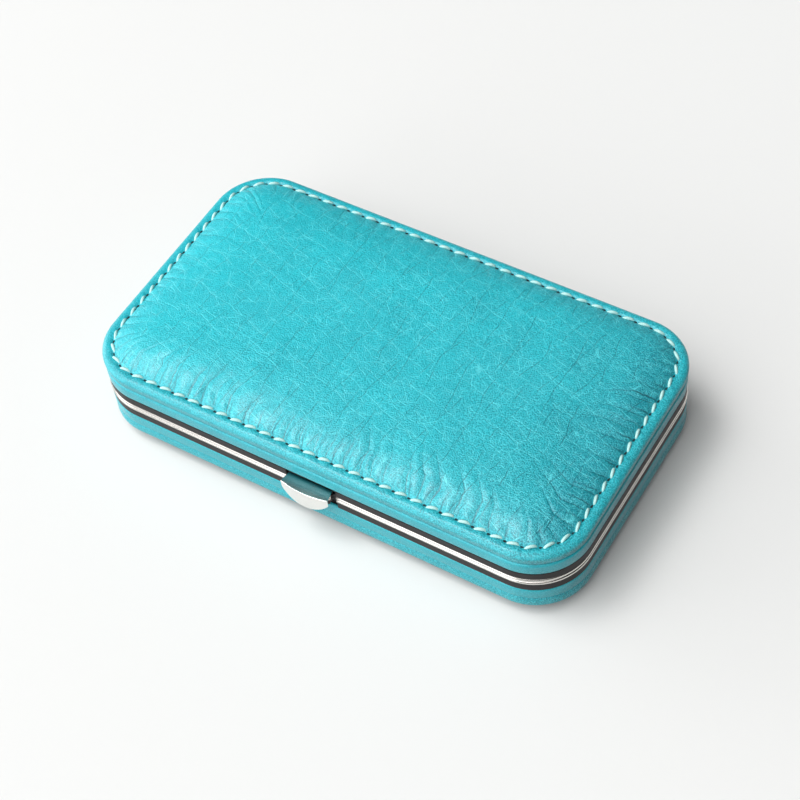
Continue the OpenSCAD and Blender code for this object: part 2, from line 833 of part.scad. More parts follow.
module nail_file_handle() {
  color(black) on_tray(file_l, file_y) linear_extrude(grip_t) {
    translate([grip_w/2, 0]) circle(d = grip_w, $fn = fine);
    translate([grip_w/2, -grip_w/2]) square([grip_l - fit_gap - grip_w/2, grip_w]);
  }
}

// ---- Scissors ----

module in_scissors() { in_lid() translate([0, scissors_y, scissors_z]) children(); }

// Middle of the upper blade's shank, as a height over the scissors' length
shank_w = 3.4;
shank_end = [ring_x + ring_d/2 - wire_d/2, ring_y - 3];
shank_start_y = 2;
shank_slope = (shank_end[1] - shank_start_y)/-shank_end[0];
function shank_y(x) = shank_start_y - shank_slope*x;

// Blade and boss in one thin layer, shank and ring at full thickness
module scissors_blade(hole_gap) {
  thick_x = -9;
  difference() {
    union() {
      translate([0, 0, blade_gap]) linear_extrude(blade_t) {
        circle(boss_r, $fn = fine);
        polygon([[-2, -3.2], [12, -3.4], [0.7*blade_l, -2.3], [blade_l, -0.3],
          [blade_l, 0.2], [0.7*blade_l, 0.9], [0, 1.6]]);
        polygon([[0, -0.4], [thick_x - 2, shank_y(thick_x - 2) - shank_w/2],
          [thick_x - 2, shank_y(thick_x - 2) + shank_w/2], [2, 3.4]]);
      }
      translate([0, 0, -blade_gap - blade_t]) linear_extrude(2*(blade_t + blade_gap)) polygon([
        [thick_x, shank_y(thick_x) - shank_w/2], [shank_end[0], shank_end[1] - 0.4*shank_w],
        [shank_end[0], shank_end[1] + 0.4*shank_w], [thick_x, shank_y(thick_x) + shank_w/2]
      ]);
      translate([ring_x, ring_y, 0]) rotate_extrude($fn = fine)
        translate([ring_d/2 - wire_d/2, 0]) circle(d = wire_d, $fn = 32);
    }
    cylinder(d = screw_d + 2*hole_gap, h = 10, center = true, $fn = fine);
  }
}

module scissors_blade_upper() { color(nickel) in_scissors() scissors_blade(running_gap); }
module scissors_blade_lower() { color(nickel) in_scissors() rotate([180, 0, 0]) scissors_blade(running_gap); }

module scissors_screw() {
  reach = blade_gap + blade_t;
  color(nickel) in_scissors() {
    translate([0, 0, -reach - fit_gap]) cylinder(d = screw_d, h = 2*reach + fit_gap, $fn = fine);
    translate([0, 0, -reach - fit_gap - screw_head_t]) cylinder(d = screw_head_d, h = screw_head_t, $fn = fine);
  }
}

lid_cover();
lid_foam();
lid_board();
lid_side_leather();
lid_shell();
lid_frame();
lid_trim_band();
lid_lining();
lid_hinge_leaf();
lid_hinge_rivets();
lid_strike();
lid_strike_rivets();
lid_tool_loops();
scissors_blade_upper();
scissors_blade_lower();
scissors_screw();
base_cover();
base_foam();
base_board();
base_side_leather();
base_shell();
base_frame();
base_trim_band();
base_lining();
base_hinge_leaf();
base_hinge_rivets();
hinge_pin();
latch_housing();
latch_rivets();
latch_spring();
base_tool_loops();
clipper_lower_jaw();
clipper_upper_jaw();
clipper_lever();
clipper_pin();
tweezers();
cuticle_pusher();
nail_file();
nail_file_handle();
latch_button();
latch_hook();
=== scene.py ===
"""Looks of the manicure set case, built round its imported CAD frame.

The case rests on z = 0 with the latch facing -Y and the hinge facing +Y. The classes hold their
sizes in millimetres, and a mesh is turned into metres when it is made. Each half is drawn upwards
from the parting plane, and the base is its mirror image.
"""

import enum
import logging
import math
from collections.abc import Iterator
from contextlib import contextmanager
from dataclasses import dataclass, field

import bmesh
import bpy
import numpy as np
from mathutils import Matrix, Vector


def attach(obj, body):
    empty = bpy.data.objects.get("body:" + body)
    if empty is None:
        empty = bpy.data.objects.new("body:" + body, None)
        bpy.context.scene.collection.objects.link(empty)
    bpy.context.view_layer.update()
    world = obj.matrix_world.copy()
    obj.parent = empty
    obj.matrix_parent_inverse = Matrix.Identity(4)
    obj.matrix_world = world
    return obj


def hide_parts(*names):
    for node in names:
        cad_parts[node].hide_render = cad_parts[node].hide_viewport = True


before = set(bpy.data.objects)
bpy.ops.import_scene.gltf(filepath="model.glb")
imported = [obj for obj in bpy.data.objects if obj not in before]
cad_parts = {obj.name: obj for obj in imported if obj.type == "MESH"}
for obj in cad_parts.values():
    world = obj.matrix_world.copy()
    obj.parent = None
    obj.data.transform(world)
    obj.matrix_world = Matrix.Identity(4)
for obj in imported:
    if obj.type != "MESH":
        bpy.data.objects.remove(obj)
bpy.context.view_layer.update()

LOG = logging.getLogger("manicure_case")
MM = 0.001
MERGE = 1e-6

Piece = bpy.types.Object
Socket = bpy.types.NodeSocket
Colour = tuple[float, float, float]
Faces = list[tuple[int, ...]]
Pair = tuple[float, float]
Marks = tuple[Pair, ...]
Ramp = tuple[float, float, float, float]


class Half(enum.Enum):
    """The two halves of the case; the value is the body that carries the half's pieces."""

    LID = "lid"
    BASE = "base"

    @property
    def sign(self) -> int:
        """Direction in which the half grows from the parting plane."""
        return 1 if self is Half.LID else -1


# --- Finishes ---


class Nodes:
    """Node tree with short calls for the nodes that the finishes and the room share."""

    def __init__(self, tree: bpy.types.NodeTree, output: str) -> None:
        """Empties a tree and gives it an output.

        Args:
            tree: The tree.
            output: Blender's class name of the output node.
        """
        self.tree = tree
        tree.nodes.clear()
        self.surface = self.add(output).inputs["Surface"]

    def add(self, kind: str, feeds: dict | None = None, **settings: object) -> bpy.types.Node:
        """Adds a node.

        Args:
            kind: Blender's class name of the node.
            feeds: Values or sockets for its inputs, by name or number.
            settings: Attributes to set on it.

        Returns:
            The node.
        """
        node = self.tree.nodes.new(kind)
        for key, value in settings.items():
            setattr(node, key, value)
        for key, value in (feeds or {}).items():
            self.feed(node.inputs[key], value)
        return node

    def feed(self, target: Socket, value: object) -> None:
        """Links a socket, or sets a plain value, on a target socket.

        Args:
            target: Socket to feed.
            value: Socket to link, or value to set.
        """
        if isinstance(value, Socket):
            self.tree.links.new(value, target)
        else:
            target.default_value = value

    def math(self, operation: str, a: object, b: object) -> Socket:
        """Result of a Math node on two values or sockets."""
        return self.add("ShaderNodeMath", {0: a, 1: b}, operation=operation).outputs[0]


class Graph(Nodes):
    """Nodes of one material, with a Principled shader."""

    def __init__(self, name: str) -> None:
        """Starts the material.

        Args:
            name: Name of the material.
        """
        self.material = bpy.data.materials.new(name)
        self.material.use_nodes = True
        super().__init__(self.material.node_tree, "ShaderNodeOutputMaterial")
        self.shader = self.add("ShaderNodeBsdfPrincipled")
        self.feed(self.surface, self.shader.outputs["BSDF"])
        self.place = self.add("ShaderNodeTexCoord").outputs["Object"]

    def set(self, **values: object) -> None:
        """Sets inputs of the shader, with underscores for the spaces in their names."""
        for key, value in values.items():
            self.feed(self.shader.inputs[key.replace("_", " ")], value)

    def noise(self, size: float, detail: float = 2.0, rough: float = 0.5, output: str = "Fac") -> Socket:
        """Soft noise.

        Args:
            size: Size of its largest features in millimetres.
            detail: Number of finer layers.
            rough: Strength of the finer layers.
            output: Fac for one value around 0.5, Color for three.

        Returns:
            The noise.
        """
        feeds = {"Scale": 1 / (size * MM), "Detail": detail, "Roughness": rough, "Vector": self.place}
        return self.add("ShaderNodeTexNoise", feeds).outputs[output]

    def vectors(self, operation: str, a: object, b: object) -> Socket:
        """Result of a Vector Math node on two vectors or sockets."""
        return self.add("ShaderNodeVectorMath", {0: a, 1: b}, operation=operation).outputs[0]

    def bent(self, size: float, amount: float) -> Socket:
        """The piece's coordinates pushed about by noise.

        Args:
            size: Size of the noise in millimetres.
            amount: How far points move, in millimetres.

        Returns:
            The bent coordinates.
        """
        centred = self.vectors("SUBTRACT", self.noise(size, output="Color"), (0.5, 0.5, 0.5))
        return self.vectors("ADD", self.place, self.vectors("MULTIPLY", centred, (2 * amount * MM,) * 3))

    def lattice(self, cells: Socket, straying: float) -> Socket:
        """Distance to the borders of irregular cells.

        Args:
            cells: Coordinates, counted in cells.
            straying: How far the cells stray from a square grid, from 0 to 1.

        Returns:
            The distance in cells, 0 on a border.
        """
        feeds = {"Vector": cells, "Scale": 1.0, "Randomness": straying}
        return self.add("ShaderNodeTexVoronoi", feeds, feature="DISTANCE_TO_EDGE").outputs["Distance"]

    def drawn_out(self, vector: Socket, across: float, lengthwise: float, turn: float) -> Socket:
        """Coordinates turned and measured in cells that may be longer one way than the other.

        Args:
            vector: Coordinates.
            across: Size of a cell across, in millimetres.
            lengthwise: Size of a cell the other way.
            turn: Turn in degrees.

        Returns:
            The coordinates in cells.
        """
        feeds = {"Vector": vector, "Rotation": (0, 0, math.radians(turn)),
                 "Scale": (across * MM, lengthwise * MM, across * MM)}
        return self.add("ShaderNodeMapping", feeds, vector_type="TEXTURE").outputs["Vector"]

    def ruled(self, axis: str, spacing: float, turn: float, wave: float, sway: float) -> Socket:
        """Distance to a family of wavy lines.

        Args:
            axis: Axis that the lines are square to, before the turn.
            spacing: Distance between lines in millimetres.
            turn: Turn in degrees.
            wave: Size of the waves in millimetres.
            sway: How far they move the lines, in millimetres.

        Returns:
            The distance in spacings, 0 on a line.
        """
        cells = self.drawn_out(self.bent(wave, sway), spacing, spacing, turn)
        return self.math("PINGPONG", self.add("ShaderNodeSeparateXYZ", {0: cells}).outputs[axis], 0.5)

    def product(self, *factors: object) -> Socket:
        """Product of several values or sockets.

        Args:
            factors: Values or sockets.

        Returns:
            The product.
        """
        total = factors[0]
        for factor in factors[1:]:
            total = self.math("MULTIPLY", total, factor)
        return total

    def span(self, value: Socket, low: float, high: float, to_low: float = 0.0,
             to_high: float = 1.0) -> Socket:
        """Maps a span of values smoothly onto another.

        Args:
            value: Value to map.
            low: Start of its span.
            high: End of its span.
            to_low: Result at the start.
            to_high: Result at the end.

        Returns:
            The mapped value.
        """
        feeds = {"Value": value, "From Min": low, "From Max": high, "To Min": to_low, "To Max": to_high}
        return self.add("ShaderNodeMapRange", feeds, interpolation_type="SMOOTHSTEP").outputs["Result"]

    def attribute(self, name: str) -> Socket:
        """Value of a number that the mesh stores at its points."""
        return self.add("ShaderNodeAttribute", attribute_name=name).outputs["Fac"]

    def blend(self, factor: Socket, a: object, b: object) -> Socket:
        """Mix of two colours.

        Args:
            factor: Share of the second colour.
            a: First colour or socket.
            b: Second colour or socket.

        Returns:
            The mixed colour.
        """
        node = self.add("ShaderNodeMix", {"Factor": factor}, data_type="RGBA")
        for key, value in (("A", a), ("B", b)):
            socket = next(s for s in node.inputs if s.name == key and s.type == "RGBA")
            self.feed(socket, value if isinstance(value, Socket) else (*value, 1.0))
        return next(s for s in node.outputs if s.type == "RGBA")

    def bump(self, height: Socket, depth: float, strength: float = 1.0,
             below: Socket | None = None) -> Socket:
        """Bump from a height.

        Args:
            height: Height from 0 to 1.
            depth: Depth of a full step in millimetres.
            strength: Share of the bump that is used.
            below: Normal of a coarser bump under this one.

        Returns:
            The normal.
        """
        feeds = {"Strength": strength, "Distance": depth * MM, "Height": height}
        if below is not None:
            feeds["Normal"] = below
        return self.add("ShaderNodeBump", feeds).outputs["Normal"]


class Finish:
    """A finish that makes its material once and then hands out the same one."""

    name: str

    def draw(self, graph: Graph) -> None:
        """Builds the finish's nodes in a graph."""
        raise NotImplementedError

    def material(self) -> bpy.types.Material:
        """The finish's material, made when it is first asked for.

        Returns:
            The material.
        """
        look = f"{self.name}_look"
        found = bpy.data.materials.get(look)
        if found is None:
            graph = Graph(look)
            self.draw(graph)
            found = graph.material
        return found

    def dress(self, piece: Piece) -> None:
        """Puts the finish on a whole piece."""
        piece.data.materials.clear()
        piece.data.materials.append(self.material())


@dataclass(frozen=True)
class Leather(Finish):
    """Tumbled leather: plates with pale borders, dark creases drawn inwards by the seam, fine grain.

    Of the mesh's attributes, 'pad' is 1 where the leather is padded, 'worked' is the strength of its grain
    and the third is painted shade: how far the colour darkens towards the right end and its seam, where the
    light falls off. The UV map 'gathers' counts the long and the short creases on the way round, and the
    attributes 'long' and 'short' tell how deep they are; the creases are grooves in the bump and painted
    shade in the colour. Leather without them has the fine grain alone.

    A ramp gives the two ends of a span and what they become. A row of lines gives its spacing, turn, size of
    waves and sway. A plate gives its size, the width of its borders and their strength.
    """

    name: str = "turquoise_leather"
    body: Colour = (0.016, 0.575, 0.665)
    shade: Colour = (0.010, 0.35, 0.43)
    line: Colour = (0.12, 0.77, 0.84)
    dark: Colour = (0.001, 0.10, 0.14)
    pale_row: Ramp = (4.3, -16.0, 8.0, 1.7)
    pale_edge: Ramp = (0.0, 0.034, 1.0, 0.0)
    break_size: float = 2.6
    breaks: Ramp = (0.36, 0.50, 0.12, 1.0)
    patch_size: float = 5.0
    patches: Ramp = (0.34, 0.50, 0.40, 1.0)
    plates: tuple[Colour, ...] = ((3.4, 0.032, 1.0), (1.7, 0.050, 0.45))
    plate_bend: Pair = (3.0, 0.3)
    plate_stretch: float = 1.3
    plate_turn: float = -16.0
    plate_straying: float = 0.85
    wobble_size: float = 1.3
    seam_lines: tuple[tuple[str, str, float, float], ...] = (
        ("long", "X", 0.045, 0.12), ("short", "Y", 0.085, 0.20))
    dark_rows: tuple[Ramp, ...] = ((5.6, -14.0, 8.6, 1.5), (6.4, 2.0, 9.4, 1.5))
    dark_edge: Ramp = (0.0, 0.030, 0.60, 0.0)
    dark_gap_sizes: Pair = (3.6, 4.4)
    dark_gaps: Ramp = (0.40, 0.60, 0.08, 1.0)
    least_worked: float = 0.6
    flat_tone: float = 0.45
    cloud: Pair = (7.0, 3.0)
    cloud_depth: float = 0.8
    grain: float = 0.29
    # The grain's high points are painted paler and its hollows darker: painted light and shade on its relief,
    # besides its bump.
    lifted: Ramp = (0.50, 0.66, 0.0, 0.32)
    sunk: Ramp = (0.34, 0.50, 0.34, 0.0)
    pale_depth: float = 0.70
    # How far the creases darken the colour: painted shade in them, besides their grooves in the bump.
    crease_painted_shade: float = 0.80
    pale_groove: float = 0.5
    coarse_size: float = 1.4
    coarse_bump: Pair = (0.08, 0.8)
    groove_bump: float = 0.08
    grain_bump: float = 0.20
    roughness: Ramp = (0.3, 0.7, 0.44, 0.30)
    refraction: float = 1.46
    specular: float = 0.55
    polish: float = 0.4
    polish_roughness: float = 0.19

    def pale_lines(self, graph: Graph) -> Socket:
        """Feathery pale lines, from 0 to 1.

        Args:
            graph: Graph of the leather's material.

        Returns:
            Strength of the lines.
        """
        # The pale lines are partly the grain's pale borders and partly painted highlight on groove walls that
        # face the light.
        breaks = graph.span(graph.noise(self.break_size), *self.breaks)
        patches = graph.span(graph.noise(self.patch_size, 1.0), *self.patches)
        lines = graph.product(graph.span(graph.ruled("Y", *self.pale_row), *self.pale_edge), breaks)
        for size, width, strength in self.plates:
            bent = graph.bent(*self.plate_bend)
            cells = graph.drawn_out(bent, self.plate_stretch * size, size, self.plate_turn)
            edges = graph.span(graph.lattice(cells, self.plate_straying), 0.0, width, strength, 0.0)
            lines = graph.math("MAXIMUM", lines, graph.product(edges, patches, breaks))
        return lines

    def gathers(self, graph: Graph) -> Socket:
        """Creases that the seam draws inwards, from 0 to 1.

        Args:
            graph: Graph of the leather's material.

        Returns:
            Strength of the creases.
        """
        counted = graph.add("ShaderNodeUVMap", uv_map="gathers").outputs["UV"]
        split = graph.add("ShaderNodeSeparateXYZ", {0: counted})
        wobble = graph.math("SUBTRACT", graph.noise(self.wobble_size), 0.5)
        parts = []
        for depth, axis, width, shake in self.seam_lines:
            count = graph.math("ADD", split.outputs[axis], graph.product(wobble, shake))
            crease = graph.span(graph.math("PINGPONG", count, 0.5), 0.0, width, 1.0, 0.0)
            parts.append(graph.product(crease, graph.attribute(depth)))
        return graph.math("MAXIMUM", *parts)

    def stray_lines(self, graph: Graph) -> Socket:
        """Thin dark creases across the pad, mostly square to the front seam, from 0 to 1.

        Args:
            graph: Graph of the leather's material.

        Returns:
            Strength of the creases.
        """
        # These dark lines are painted shade on groove walls turned away from the light.
        lines = []
        for row, gap_size in zip(self.dark_rows, self.dark_gap_sizes):
            gaps = graph.span(graph.noise(gap_size, 1.0), *self.dark_gaps)
            lines.append(graph.product(graph.span(graph.ruled("X", *row), *self.dark_edge), gaps))
        return graph.math("MAXIMUM", *lines)

    def draw(self, graph: Graph) -> None:
        """Builds the leather's nodes in a graph.

        Args:
            graph: Graph of the finish's material.
        """
        pad = graph.attribute("pad")
        worked = graph.math("MAXIMUM", graph.attribute("worked"), self.least_worked)
        pale = graph.product(self.pale_lines(graph), pad)
        stray = graph.product(self.stray_lines(graph), worked)
        # The creases and dark lines darken the colour below as painted shade, and also sink in the bump.
        creases = graph.product(graph.math("MAXIMUM", self.gathers(graph), stray), pad)
        flat = graph.product(graph.math("SUBTRACT", 1.0, pad), self.flat_tone)
        # Painted shade: the pad darkens towards the right end and near its right seam, where the light falls
        # off; unpadded leather takes a fixed share of the darker colour instead.
        painted_shade = graph.math("ADD", graph.product(graph.attribute("painted_shade"), pad), flat)
        cloud = graph.product(graph.math("SUBTRACT", graph.noise(*self.cloud), 0.5), self.cloud_depth)
        grain = graph.noise(self.grain, 1.0)
        hide = graph.blend(graph.math("ADD", painted_shade, cloud), self.body, self.shade)
        # Grain tops painted paler and hollows darker, pale lines partly painted highlight, creases painted
        # shade.
        for amount, colour in ((graph.product(graph.span(grain, *self.lifted), worked), self.line),
                               (graph.product(graph.span(grain, *self.sunk), worked), self.dark),
                               (graph.product(pale, self.pale_depth), self.line),
                               (graph.product(creases, self.crease_painted_shade), self.dark)):
            hide = graph.blend(amount, hide, colour)
        sunken = graph.math("MAXIMUM", graph.product(pale, self.pale_groove), creases)
        coarse = graph.bump(graph.noise(self.coarse_size), *self.coarse_bump)
        plates = graph.bump(graph.math("SUBTRACT", 1.0, sunken), self.groove_bump, below=coarse)
        normal = graph.bump(graph.product(grain, worked), self.grain_bump, below=plates)
        graph.set(Base_Color=hide, Roughness=graph.span(grain, *self.roughness), Normal=normal,
                  IOR=self.refraction, Specular_IOR_Level=self.specular,
                  Coat_Weight=self.polish, Coat_Roughness=self.polish_roughness)


@dataclass(frozen=True)
class Thread(Finish):
    """Waxed sewing thread."""

    name: str = "pale_thread"
    colour: Colour = (0.56, 0.87, 0.83)
    dark: Colour = (0.24, 0.62, 0.62)
    fibre: Colour = (0.18, 3.0, 0.7)
    strands: Pair = (0.3, 0.55)
    relief: float = 0.03

    def draw(self, graph: Graph) -> None:
        """Builds the thread's nodes in a graph.

        Args:
            graph: Graph of the finish's material.
        """
        fibres = graph.noise(*self.fibre)
        graph.set(Base_Color=graph.blend(graph.span(fibres, *self.strands), self.dark, self.colour),
                  Roughness=0.5, Normal=graph.bump(fibres, self.relief))


@dataclass(frozen=True)
class Metal(Finish):
    """Polished or brushed metal with faint wear."""

    name: str
    colour: Colour
    roughness: float
    wear: float
    grain: float = 0.25
    smear: Colour = (6.0, 4.0, 0.6)
    tarnish: float = 0.9
    scratch: Pair = (0.002, 0.5)

    def draw(self, graph: Graph) -> None:
        """Builds the metal's nodes in a graph.

        Args:
            graph: Graph of the finish's material.
        """
        smear = graph.noise(*self.smear)
        dull = tuple(self.tarnish * c for c in self.colour)
        graph.set(Base_Color=graph.blend(graph.span(smear, 0.45, 0.8), self.colour, dull), Metallic=1.0,
                  Roughness=graph.span(smear, 0.3, 0.7, self.roughness, self.roughness + self.wear),
                  Normal=graph.bump(graph.noise(self.grain), *self.scratch))


@dataclass(frozen=True)
class Lacquer(Finish):
    """Smooth plastic or lacquer with a fine orange-peel surface."""

    name: str
    colour: Colour
    roughness: float
    peel: float = 0.8
    specular: float = 0.5
    cloud: Pair = (4.0, 3.0)
    relief: float = 0.006

    def draw(self, graph: Graph) -> None:
        """Builds the lacquer's nodes in a graph.

        Args:
            graph: Graph of the finish's material.
        """
        cloud = graph.noise(*self.cloud)
        lighter = tuple(1.25 * c + 0.002 for c in self.colour)
        graph.set(Base_Color=graph.blend(graph.span(cloud, 0.4, 0.7), self.colour, lighter),
                  Roughness=graph.span(cloud, 0.3, 0.7, self.roughness, self.roughness + 0.08),
                  Specular_IOR_Level=self.specular, Normal=graph.bump(graph.noise(self.peel), self.relief))


@dataclass(frozen=True)
class Velour(Finish):
    """Short-piled velour."""

    name: str = "velour"
    colour: Colour = (0.012, 0.013, 0.015)
    brushed: Colour = (0.035, 0.037, 0.042)
    pile: Colour = (0.35, 4.0, 0.7)
    stroke: float = 14.0
    relief: float = 0.12
    sheen: float = 0.6

    def draw(self, graph: Graph) -> None:
        """Builds the velour's nodes in a graph.

        Args:
            graph: Graph of the finish's material.
        """
        strokes = graph.span(graph.noise(self.stroke), 0.35, 0.7)
        graph.set(Base_Color=graph.blend(strokes, self.colour, self.brushed), Roughness=0.95,
                  Sheen_Weight=self.sheen, Sheen_Roughness=0.4,
                  Normal=graph.bump(graph.noise(*self.pile), self.relief))


@dataclass(frozen=True)
class Foam(Finish):
    """Open-celled foam or grey card, told apart by colour and cell size."""

    name: str
    colour: Colour
    cell: float
    relief: float = 0.1

    def draw(self, graph: Graph) -> None:
        """Builds the foam's nodes in a graph.

        Args:
            graph: Graph of the finish's material.
        """
        cells = graph.noise(self.cell, 3.0, 0.7)
        darker = tuple(0.8 * c for c in self.colour)
        graph.set(Base_Color=graph.blend(graph.span(cells, 0.3, 0.6), darker, self.colour), Roughness=0.9,
                  Normal=graph.bump(cells, self.relief))


@dataclass(frozen=True)
class FileGrit(Finish):
    """Diamond-coated steel of the nail file."""

    name: str = "file_grit"
    colour: Colour = (0.50, 0.50, 0.52)
    glint: Colour = (0.85, 0.85, 0.88)
    grit: Colour = (0.22, 2.0, 0.8)
    relief: float = 0.06

    def draw(self, graph: Graph) -> None:
        """Builds the grit's nodes in a graph.

        Args:
            graph: Graph of the finish's material.
        """
        grit = graph.noise(*self.grit)
        graph.set(Base_Color=graph.blend(graph.span(grit, 0.55, 0.7), self.colour, self.glint),
                  Metallic=0.85, Roughness=0.45, Normal=graph.bump(grit, self.relief))


LEATHER = Leather()
LOOP_LEATHER = Leather(name="loop_leather")
# Near-black teal of the needle holes: painted shade inside them.
HOLE_SHADE = Lacquer("needle_hole_painted_shade", (0.0015, 0.022, 0.028), 0.7)
THREAD = Thread()
NICKEL = Metal("nickel_plate", (0.86, 0.84, 0.81), 0.10, 0.06)
# Top of the push button: satin nickel tinted dark teal, a painted reflection of the shaded leather above it.
PAINTED_REFLECTION_NICKEL = Metal("satin_nickel_painted_reflection", (0.20, 0.32, 0.32), 0.20, 0.08, 0.5)
HARDWARE = Metal("hardware_steel", (0.70, 0.70, 0.70), 0.22, 0.10)
TOOL_STEEL = Metal("tool_steel", (0.78, 0.78, 0.79), 0.16, 0.10)
FRAME_METAL = Metal("frame_nickel", (0.66, 0.635, 0.60), 0.10, 0.06)
TRIM = Lacquer("black_trim", (0.026, 0.023, 0.024), 0.36, specular=0.16)
GRIP = Lacquer("black_grip", (0.014, 0.014, 0.015), 0.42, 0.4)
SHELL = Lacquer("moulded_shell", (0.03, 0.03, 0.032), 0.5)
BOARD = Foam("grey_board", (0.42, 0.40, 0.36), 1.5)
PAD_FOAM = Foam("pad_foam", (0.84, 0.84, 0.78), 0.5)
VELOUR = Velour()
GRIT = FileGrit()


# --- Shared ways of making pieces ---


def deselect() -> None:
    """Leaves edit mode and deselects every object."""
    if bpy.context.object is not None and bpy.context.object.mode != "OBJECT":
        bpy.ops.object.mode_set(mode="OBJECT")
    bpy.ops.object.select_all(action="DESELECT")


def take(piece: Piece) -> None:
    """Selects one object alone and makes it active.

    Args:
        piece: Object to select.
    """
    deselect()
    piece.select_set(True)
    bpy.context.view_layer.objects.active = piece


def settle(piece: Piece) -> None:
    """Moves a piece's place, turn and size into its mesh."""
    take(piece)
    bpy.ops.object.transform_apply(location=True, rotation=True, scale=True)


def entitle(piece: Piece, name: str) -> None:
    """Names a piece and its mesh."""
    piece.name = name
    piece.data.name = name


@contextmanager
def editing(piece: Piece) -> Iterator[None]:
    """Holds a piece in edit mode, with all of it selected at the start.

    Args:
        piece: Piece to edit.

    Returns:
        Context in which the piece is in edit mode.
    """
    take(piece)
    bpy.ops.object.mode_set(mode="EDIT")
    bpy.ops.mesh.select_all(action="SELECT")
    yield
    bpy.ops.object.mode_set(mode="OBJECT")


def extrude(x: float, z: float) -> None:
    """Extrudes the selected faces along X and Z, by millimetres."""
    bpy.ops.mesh.extrude_region_move(TRANSFORM_OT_translate={"value": (x * MM, 0, z * MM)})


def apply_modifier(piece: Piece, kind: str, **settings: object) -> None:
    """Adds a modifier and applies it.

    Args:
        piece: Object to change.
        kind: Blender's type of the modifier.
        settings: Attributes to set on it.
    """
    take(piece)
    modifier = piece.modifiers.new(kind.title(), kind)
    for key, value in settings.items():
        setattr(modifier, key, value)
    bpy.ops.object.modifier_apply(modifier=modifier.name)


def smooth(piece: Piece, angle: float) -> None:
    """Shades a piece smooth, apart from edges sharper than an angle in degrees."""
    take(piece)
    bpy.ops.object.shade_smooth_by_angle(angle=math.radians(angle))


def face_out(piece: Piece) -> None:
    """Merges a piece's doubles and points its faces outwards.

    Args:
        piece: Piece to clean.
    """
    with editing(piece):
        bpy.ops.mesh.remove_doubles(threshold=MERGE)
        bpy.ops.mesh.normals_make_consistent(inside=False)


def mesh_piece(name: str, points: np.ndarray, faces: Faces) -> Piece:
    """Makes an object from points in millimetres.

    Args:
        name: Name of the piece.
        points: Points, one row each.
        faces: Indices of each face's points.

    Returns:
        The object.
    """
    mesh = bpy.data.meshes.new(name)
    mesh.from_pydata((points * MM).tolist(), [], faces)
    mesh.validate()
    piece = bpy.data.objects.new(name, mesh)
    bpy.context.scene.collection.objects.link(piece)
    return piece


def register(piece: Piece, body: str, slot: str, *nodes: str) -> Piece:
    """Puts a finished piece on its body, hides the CAD nodes that it stands for and logs both.

    Args:
        piece: The piece.
        body: Body that carries it.
        slot: Material slot, not used.
        nodes: CAD nodes that it replaces.

    Returns:
        The piece.
    """
    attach(piece, body)
    if nodes:
        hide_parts(*nodes)
    count = len(piece.data.polygons)
    LOG.info("%s: %d faces, rides on %s, stands for %s", piece.name, count, body, nodes or "no node")
    return piece


def along(values: np.ndarray, marks: Marks) -> np.ndarray:
    """Reads values off a line drawn through marks, each a place and the value there."""
    return np.interp(values, *zip(*marks))


def share(distance: np.ndarray | float, reach: float) -> np.ndarray:
    """Share of a reach that a distance has covered, from 0 to 1."""
    return np.clip(distance / reach, 0, 1)


def easing(distance: np.ndarray | float, reach: float, power: float) -> np.ndarray:
    """Rise from 0 to 1 over a reach, steep at first and level at its end."""
    return 1 - (1 - share(distance, reach)) ** power


# --- Case outline and the padded leather covers ---


@dataclass(frozen=True)
class Outline:
    """Rounded oblong of the case seen from above, as rings of points at any inset."""

    length: float = 120.0
    width: float = 68.0
    corner: float = 13.0
    parting: float = 12.0
    knee: float = 8.0
    middle: float = 0.35
    long_n: int = 264
    short_n: int = 120
    arc_n: int = 56

    @property
    def innermost(self) -> float:
        """Inset of the innermost ring, next to the middle line."""
        return self.width / 2 - self.middle

    def radius(self, inset: float) -> float:
        """Corner radius at an inset: parallel near the edge, then closing evenly on the middle line.

        Args:
            inset: Distance from the case's edge.

        Returns:
            The radius.
        """
        if inset <= self.knee:
            return self.corner - inset
        return (self.corner - self.knee) * (1 - (inset - self.knee) / (self.width / 2 - self.knee))

    def ring(self, inset: float) -> np.ndarray:
        """Points of one ring, counterclockwise from the middle of the front edge.

        Args:
            inset: Distance from the case's edge.

        Returns:
            Array of x and y, one row per point.
        """
        r = self.radius(inset)
        x, y = self.length / 2 - inset - r, self.width / 2 - inset - r

        def line(a: Pair, b: Pair, n: int) -> np.ndarray:
            """Points from one place to just short of another."""
            return np.array(a) + (np.array(b) - np.array(a)) * (np.arange(n)[:, None] / n)

        def arc(cx: float, cy: float, start: float) -> np.ndarray:
            """Points of a quarter turn round a centre, from an angle in degrees."""
            t = np.radians(start + 90 * np.arange(self.arc_n) / self.arc_n)
            return np.c_[cx + r * np.cos(t), cy + r * np.sin(t)]

        half = self.long_n // 2
        return np.vstack([
            line((0, -y - r), (x, -y - r), half), arc(x, -y, -90),
            line((x + r, -y), (x + r, y), self.short_n), arc(x, y, 0),
            line((x, y + r), (-x, y + r), self.long_n), arc(-x, y, 90),
            line((-x - r, y), (-x - r, -y), self.short_n), arc(-x, -y, 180),
            line((-x, -y - r), (0, -y - r), half),
        ])

    def way(self, inset: float) -> np.ndarray:
        """Distance run along the ring at an inset up to each of its points."""
        ring = self.ring(inset)
        return np.r_[0.0, np.cumsum(np.hypot(*(np.roll(ring, -1, axis=0) - ring).T))]


OUTLINE = Outline()


